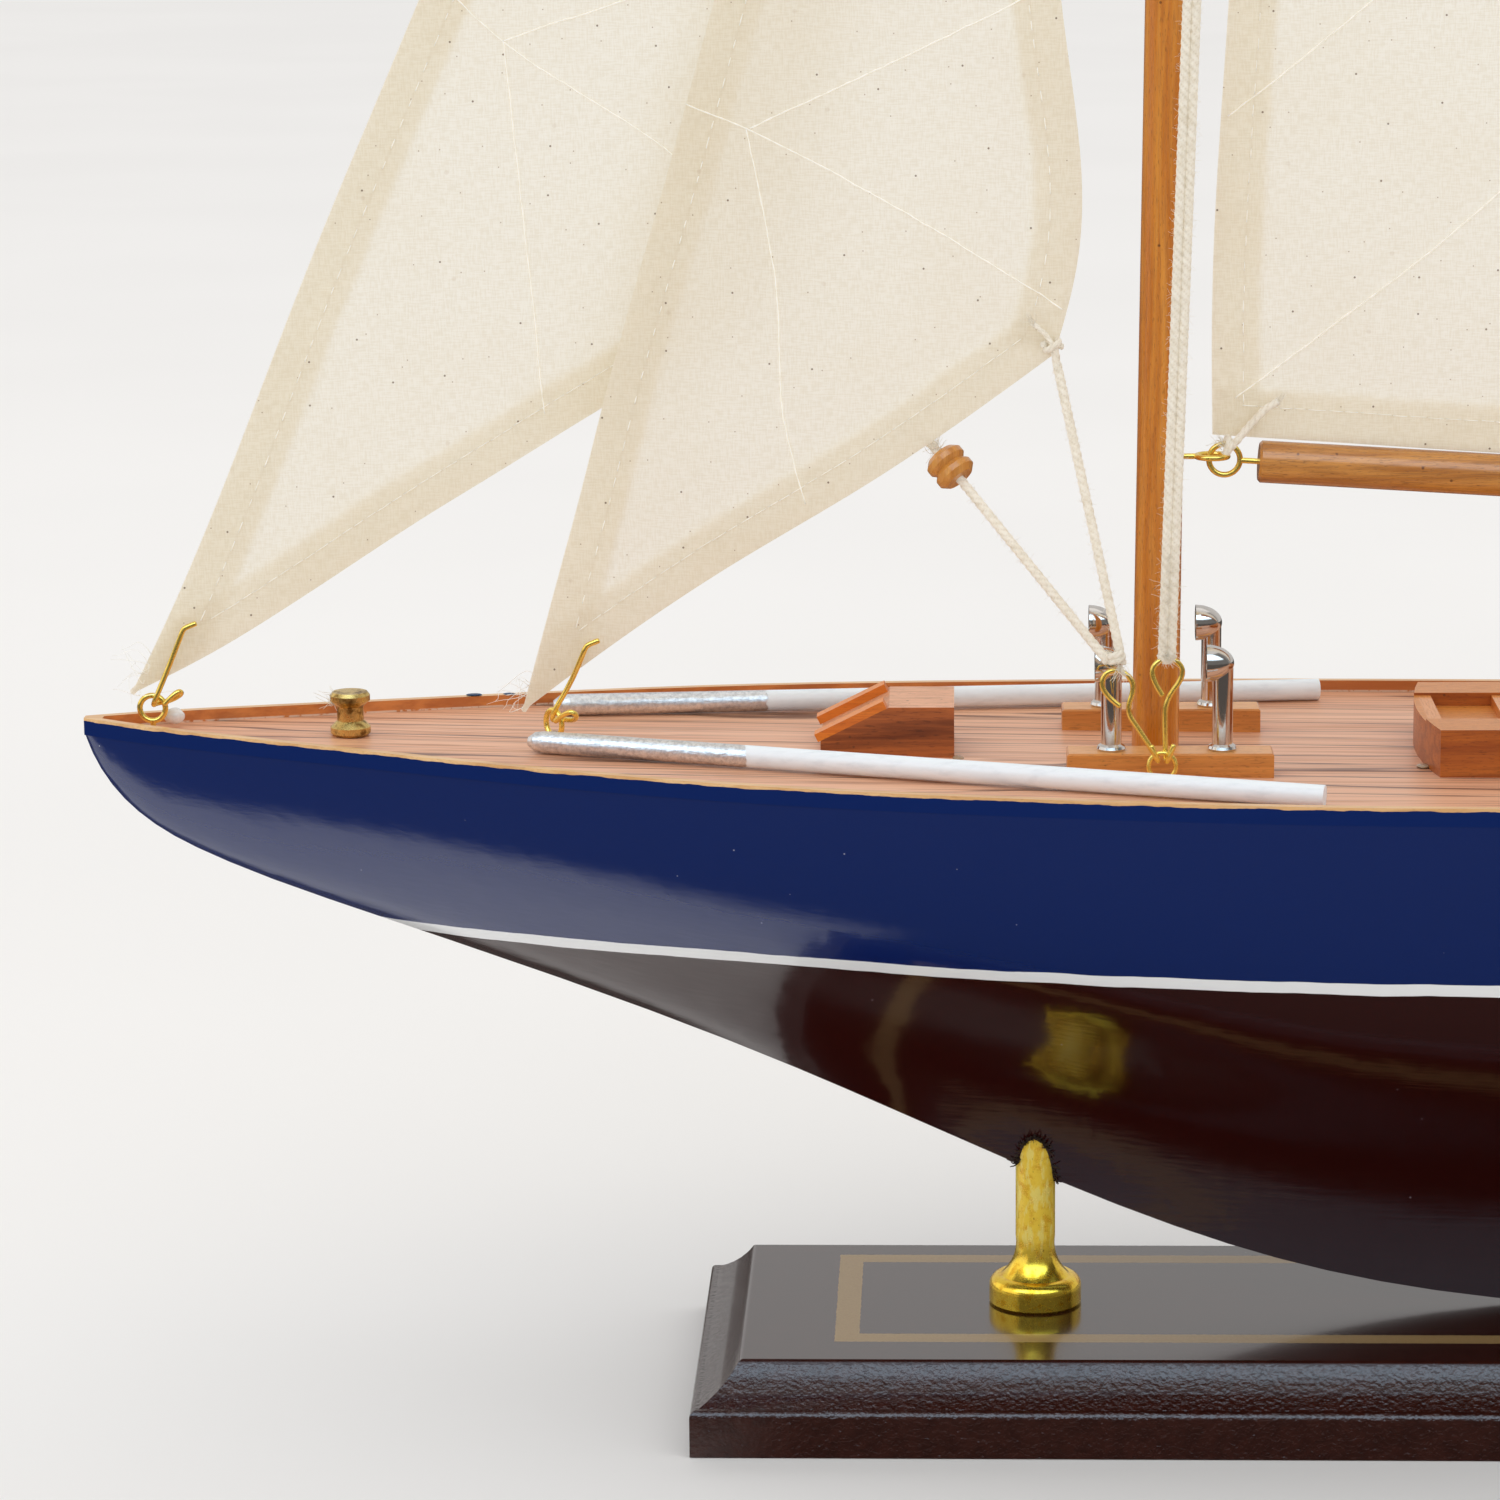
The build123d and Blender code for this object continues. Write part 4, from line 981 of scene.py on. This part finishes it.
    def thread_lines(self, name, lines, thick):
        """Corded seams: a thread that runs on without a break, on both faces."""
        parts = []
        for line in lines:
            line = even(line, int(distances(line)[-1] / 0.8))
            line = line[self.inside(line)]
            sway = np.cumsum(np.random.default_rng(len(line)).normal(0, 0.035, (len(line), 2)), axis=0)
            placed = self.place(line + sway - np.linspace(0, 1, len(line))[:, None] * sway[-1])
            count = len(line)
            beads = thick / 2 * (1 + 0.28 * np.sin(np.arange(count) * 2.1))
            for side in (1, -1):
                parts.append(swept(placed + np.outer(np.full(count, 0.07 * side), self.normal), beads, 6))
        return piece(name, *gathered(parts), "thread", self.body, "sailcloth")

    def hem_lines(self):
        lines = []
        for line in self.lines:
            shifted = line + self.inward(line) * STITCH
            keep = self.inside(shifted) & (self.edge_distance(shifted) > STITCH - 0.3)
            lines.append(shifted[keep])
        return lines


SAILS = {
    "jib": dict(
        tack=(-207.9, 0.2, 107.3),
        luff=[(-203.4, 0.3, 116), (-181.5, 0.3, 166.3), (-162.3, 0.4, 209.4), (-109, 0.5, 330)],
        head=(-58.3, 0.6, 444),
        leech=[(-80.2, 3.6, 330), (-101.7, 6.8, 208.9)],
        clew=(-109.2, 8, 166.5),
        foot=[(-137.1, 5.8, 149.2), (-172.1, 3, 128.1), (-197, 1.1, 112.6)],
        seed=3, belly=-1.2,
    ),
    "staysail": dict(
        tack=(-149.2, -0.5, 104.6),
        luff=[(-144.4, -0.5, 121.8), (-136.6, -0.6, 149.2), (-119.4, -0.8, 209.5), (-88.9, -1, 320)],
        head=(-59.5, -1.2, 425),
        leech=[(-65.3, -4.2, 320), (-69.3, -7.4, 209.5), (-67, -8.9, 172)],
        clew=(-70.2, -9, 159),
        foot=[(-95.8, -6.3, 140.7), (-117, -3.9, 127.6), (-142.3, -1.2, 109.9)],
        seed=5, belly=1.2,
    ),
    "mainsail": dict(
        tack=(-46.9, 0, 145.8),
        luff=[(-47.1, 0, 162.8), (-45.1, 0, 208.8), (-43.2, 0, 340)],
        head=(-46.6, 0, 576),
        leech=[(24, 0, 443), (104, 0, 284)],
        clew=(174, 0, 131.93),
        foot=[(60, 0, 139.02), (-36, 0, 144.99)],
        seed=8, belly=1.5,
    ),
}
# sewn panel lines, as x and z on each sail
PANELS = {
    "jib": [
        [(-160.5, 214), (-150.2, 203.7), (-126.4, 187.3), (-110.5, 173)],
        [(-150.2, 203.7), (-132.1, 209.4), (-104, 219)],
        [(-150.2, 203.7), (-145.4, 148.6)],
        [(-131, 279), (-118, 270), (-96, 252)],
        [(-118, 270), (-122, 210)],
        [(-90, 370), (-73, 352)],
    ],
    "staysail": [
        [(-123.6, 194.6), (-114.8, 190.9), (-67.7, 164.5)],
        [(-114.2, 191.2), (-75.2, 209.5), (-70.4, 212)],
        [(-114.8, 190.9), (-113.2, 183), (-110.2, 166.9), (-109.4, 151.8), (-106.3, 136.7)],
        [(-104, 266), (-94, 258), (-69, 240)],
        [(-94, 258), (-98, 212)],
        [(-78, 358), (-64, 340)],
    ],
    "mainsail": [
        [(-45.1, 192.1), (-24.9, 208.7), (60, 272), (104, 283)],
        [(-43.6, 151.2), (-5.7, 181.4), (40, 218), (138, 214)],
        [(-43.8, 320), (0, 350), (68, 358)],
        [(-44.5, 430), (-12, 452), (24, 443)],
        [(60, 272), (60, 141)],
        [(0, 350), (-12, 218)],
    ],
}
# flat size and area in metres, what holds the sail, and its mesh's columns and rows
SHEETS = {
    "jib": ((0.072, 0.368), 0.01211, ["jib_tack_hook_wire", "jib_head_hook"], (60, 260)),
    "staysail": ((0.068, 0.333), 0.00997, ["staysail_tack_hook_wire", "staysail_head_hook"], (60, 240)),
    "mainsail": ((0.223, 0.444), 0.0484, ["boom", "main_head_hook"], (150, 300)),
}
for name, (size, area, held_by, grid) in SHEETS.items():
    sail = Sail(name, **SAILS[name])
    cloth = sail.cloth(*grid)
    hem = sail.hem()
    luff_line, leech_line, foot_line = sail.hem_lines()
    threads = sail.stitches(name + "_hem_stitches", [luff_line, leech_line], 1.5, 1.7, 0.17)
    foot_thread = sail.stitches(name + "_foot_stitches", [foot_line], 2.2, 0.3, 0.14)
    panel_lines = []
    for line in PANELS[name]:
        spots = []
        for x, z in line:
            # y on the sail's plane at that x and z
            tack, normal = sail.origin, sail.normal
            y = tack[1] - ((x - tack[0]) * normal[0] + (z - tack[2]) * normal[2]) / normal[1]
            spots.append((x, y, z))
        panel_lines.append(smooth_line(sail.flat(spots)))
    seams = sail.thread_lines(name + "_seams", panel_lines, 0.2)
    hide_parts(name)

# ---- knots, lashings and loose ends
loop("masthead_turns", ring_path((-50.95, 0, 570.0), (1, 0, 0), (0, 1, 0), 2.95, -60, 1020, 1.5, 120),
     replaced="masthead_lashing")
loop("shroud_bight", ring_path((-54.35, -22.72, 117.4), (1, 0, 0), (0, 0, 1), 0.80, 180, 360))
tack_tie = [
    (-37.4, -1.5, 150.9), (-39.4, -1.25, 149.6), (-41.6, -1.15, 147.2), (-43.4, -1.15, 145.0),
    (-45.2, -1.0, 142.9),
]
loop("tack_tie", tack_tie, "boom", 1.2, "tack_lashing")
tack_turn = ring_path((-45.0, -0.3, 144.6), (0, 1, 0), (0.3, 0, 0.95), 0.95, 0, 400, 0.6)
loop("tack_tie_turn", tack_turn, "boom", 0.9)
tuft("tack_tie_end", (-45.4, -1.0, 144.5), (-0.35, -0.6, 0.55), 2.3, 26, 0.5, "boom")
tuft("tack_tie_tail", (-37.6, -1.5, 150.8), (1.0, -0.2, 0.8), 1.6, 14, 0.3, "boom")
loop("clew_tie", ring_path((-70.3, -9.2, 159.6), (0.9, 0, 0.4), (0, 1, 0.1), 1.15, 0, 560, 0.9), thick=1.0)
loop("clew_tie_drop", [(-70.3, -9.4, 160.0), (-70.1, -9.6, 158.8), (-69.85, -9.5, 157.3)], HULL, 1.3)
loop("clew_tie_tail", [(-70.2, -10.0, 160.0), (-71.5, -9.9, 161.9), (-73.2, -9.6, 163.4)], HULL, 0.8)
tuft("clew_tie_end", (-73.0, -9.6, 163.3), (-0.8, -0.2, 0.6), 1.8, 16, 0.4)
loop("jib_clew_tie", ring_path((-108.6, 7.6, 166.0), (0.9, 0, 0.4), (0, 1, 0.1), 1.1, 0, 560, 0.9), HULL, 1.0)
sheet_turns = ring_path((-61.4, -22.4, 116.0), (1, 0, 0.2), (0, 1, 0), 0.95, 0, 700, 0.8, 60)
loop("sheet_knot", sheet_turns, thick=0.95)
tuft("sheet_knot_end", (-61.0, -22.8, 115.6), (0.3, -0.5, -0.9), 2.4, 34, 0.5)
tuft("sheet_knot_fluff", (-61.6, -22.6, 116.4), (0.2, -0.6, 0.9), 2.0, 60, 0.8, thick=0.035)
tuft("shroud_end", (-54.4, -23.2, 117.2), (0.4, -0.5, -0.5), 1.8, 70, 0.8, HULL, 0.04)
for k in range(7):
    place = (-54.3, -23.3 - 0.1 * k, 118.4 + 2.2 * k)
    tuft(f"shroud_fluff_{k}", place, (0.1, -0.5, 1.0), 2.6, 16, 0.6, thick=0.035)
tuft("bead_end", (-87.2, -6.0, 144.6), (-0.55, 0.1, 0.8), 2.4, 34, 0.55, "bead")
tuft("bollard_thread", (-177.2, -1.0, 106.2), (-1.0, 0, 0.25), 2.6, 14, 0.5)
strands = []
for start, way, length in (
    ((-205.8, -0.2, 109.5), (-0.6, -0.2, 0.5), 4.5), ((-206.6, -0.2, 108.2), (-0.9, -0.2, 0.2), 3.6),
    ((-204.5, -0.3, 113.4), (-0.5, -0.1, 0.7), 4.2), ((-207.4, 0, 107.6), (0.6, -0.3, 0.1), 5.5),
    ((-148.6, -0.9, 107.0), (-1.0, -0.2, 0.25), 5.5), ((-148.0, -0.9, 108.6), (-0.8, -0.2, 0.4), 4.5),
    ((-149.0, -0.9, 105.4), (-0.8, -0.2, -0.3), 3.2), ((-147.2, -0.9, 110.2), (-0.9, -0.1, 0.1), 3.6),
):
    strands.append(fibre(start, way, length, 2.6, 0.06))
for start in ((-206.0, -0.3, 110.5), (-148.3, -1.0, 107.5), (-205.0, -0.3, 112.0), (-147.8, -1.0, 109.0)):
    for _ in range(4):
        way = (random.uniform(-1, -0.3), -0.3, random.uniform(-0.5, 0.7))
        strands.append(fibre(start, way, random.uniform(3.0, 5.5), random.uniform(2, 3.6), 0.045))
piece("loose_threads", *gathered(strands), "thread", HULL, "sailcloth")


# ---- glue, smudges and debris
def blob(name, center, size, look, seed):
    """A rounded, uneven lump."""
    lumps = np.random.default_rng(seed).normal(size=(5, 3))
    rings, around = 14, 28
    points = []
    for j in range(rings + 1):
        lat = math.pi * (j / rings - 0.5)
        for i in range(around):
            lon = 2 * math.pi * i / around
            d = np.array([math.cos(lat) * math.cos(lon), math.cos(lat) * math.sin(lon), math.sin(lat)])
            swell = 1 + 0.25 * sum(math.sin(2.2 * d.dot(v) + k) for k, v in enumerate(lumps)) / 5
            points.append(np.asarray(center) + d * swell * np.asarray(size))
    piece(name, points, tube_faces(rings + 1, around), look, HULL)


blob("bow_glue", (-202.0, 2.4, 103.6), (1.5, 1.4, 1.2), "glue", 2)
blob("house_glue", (-16.3, -11.0, 98.4), (0.9, 1.5, 0.3), "clear_glue", 6)
blob("hatch_glue", (-84.2, -8.2, 98.95), (0.9, 1.0, 0.6), "clear_glue", 7)
blob("stay_glue", (-144.3, 0.4, 101.0), (1.2, 1.2, 0.45), "clear_glue", 3)
blob("rail_smudge_one", (-158.6, 22.7, 102.55), (1.2, 0.7, 0.18), "blue_smudge", 4)
blob("rail_smudge_two", (-153.4, 24.4, 102.3), (0.9, 0.6, 0.16), "blue_smudge", 5)
# torn paint where the front post enters the hull
POST_RADIUS = 3.12  # just outside the post's column
crumbs = []
rng = np.random.default_rng(21)
hull_mesh = nodes["hull"].data
hull_faces = [list(face.vertices) for face in hull_mesh.polygons]
skin = BVHTree.FromPolygons([v.co / MM for v in hull_mesh.vertices], hull_faces)
for _ in range(190):
    angle = rng.uniform(0, 2 * math.pi)
    around = np.array([math.cos(angle), math.sin(angle), 0])
    foot = np.array([-POST_X, 0, 20.0]) + around * POST_RADIUS
    hit = skin.ray_cast(Vector(foot), Vector((0, 0, 1)))[0]
    if hit:
        spot = np.array(hit) + (0, 0, rng.uniform(-0.25, 0.3))
        way = around + (rng.normal(0, 0.5), rng.normal(0, 0.3), rng.uniform(-0.8, 0.8))
        crumbs.append(fibre(spot, way, rng.uniform(0.4, 1.3), 0.4, rng.uniform(0.07, 0.2)))
piece("post_debris", *gathered(crumbs), "debris", HULL, "hull_paint")


# ---- studio
ROOM_LIGHT = 0.97
DARK_ROOM = 0.18  # what gloss mirrors where no softbox or wall is
PAINTED_REFLECTION_DIM = 0.92  # how far glossy rays see the floor turned to its dark colour: a painted reflection
WARM_WHITE = (1.0, 0.992, 0.98, 1)
COOL_GLARE = (0.62, 0.82, 1.0, 1)


def studio():
    """A pale table in a plain bright studio, with softboxes; gloss surfaces mirror a darker room in front."""
    data = bpy.data.meshes.new("floor")
    half = 12.0
    corners = [(-half, -half, -0.0001), (half, -half, -0.0001), (half, half, -0.0001), (-half, half, -0.0001)]
    data.from_pydata(corners, [], [(0, 1, 2, 3)])
    floor = bpy.data.objects.new("floor", data)
    bpy.context.scene.collection.objects.link(floor)
    s = Shader("floor_paper", {"Roughness": 0.9, "Specular IOR Level": 0.0})
    base = s.mix(s.span(s.noise(0.004, 2), 0.3, 0.7), "edeceb", "efeeed")
    # painted reflection: glossy rays see the pale floor dark, as if the dark stand and a dark room lay there,
    # except in a patch under the bow's overhang
    far = s.span(s.calc("ABSOLUTE", s.y), 30.0, 60.0)
    beside = s.span(s.x, -128.0, -108.0)
    mirrored = s.new("ShaderNodeLightPath").outputs["Is Glossy Ray"]
    painted_reflection = s.times(s.calc("MAXIMUM", far, beside), s.times(mirrored, PAINTED_REFLECTION_DIM))
    s.colour(s.mix(painted_reflection, base, "2d2622"))
    data.materials.append(s.material)

    world = bpy.data.worlds.new("studio")
    bpy.context.scene.world = world
    world.use_nodes = True
    w = Nodes(world.node_tree)
    x, y, z = w.parts(w.new("ShaderNodeTexCoord").outputs["Generated"])
    behind = w.span(y, -0.25, 0.35, 0.0, 0.48)
    above = w.span(z, 0.80, 0.95, 0.0, 0.25)
    beside = w.times(w.span(w.times(x, -1.0), 0.62, 0.72, 0.0, 0.9), w.span(z, 0.02, 0.12))
    # the bright front of a softbox, which gloss mirrors from in front and above
    in_front = w.span(w.times(y, -1.0), 0.34, 0.48)
    glare = w.times(in_front, w.span(z, 0.40, 0.56, 0.0, 3.2))
    around = w.calc("MAXIMUM", behind, w.calc("MAXIMUM", above, beside))
    seen = w.plus(w.plus(DARK_ROOM, glare), around)
    glossy = w.new("ShaderNodeLightPath").outputs["Is Glossy Ray"]
    room = w.plus(w.times(w.minus(1.0, glossy), ROOM_LIGHT), w.times(glossy, seen))
    back = w.tree.nodes["Background"]
    w.link(w.mix(w.times(glare, glossy), WARM_WHITE, COOL_GLARE), back.inputs["Color"])
    w.link(room, back.inputs["Strength"])

    def softbox(name, place, aim, wide, high, power):
        lamp = bpy.data.lights.new(name, "AREA")
        lamp.shape = "RECTANGLE"
        lamp.size, lamp.size_y, lamp.energy = wide, high, power
        obj = bpy.data.objects.new(name, lamp)
        obj.location = place
        obj.rotation_euler = (Vector(aim) - Vector(place)).to_track_quat("-Z", "Y").to_euler()
        bpy.context.scene.collection.objects.link(obj)

    softbox("key", (-1.1, -0.9, 1.5), (-0.05, 0, 0.15), 0.9, 0.9, 2.6)
    softbox("top", (0.1, 0.2, 1.9), (0, 0, 0.1), 1.6, 1.6, 3.0)
    view = bpy.context.scene.view_settings
    view.view_transform = "Standard"
    view.look = "None"
    view.exposure = 0.0
    view.gamma = 1.0


studio()
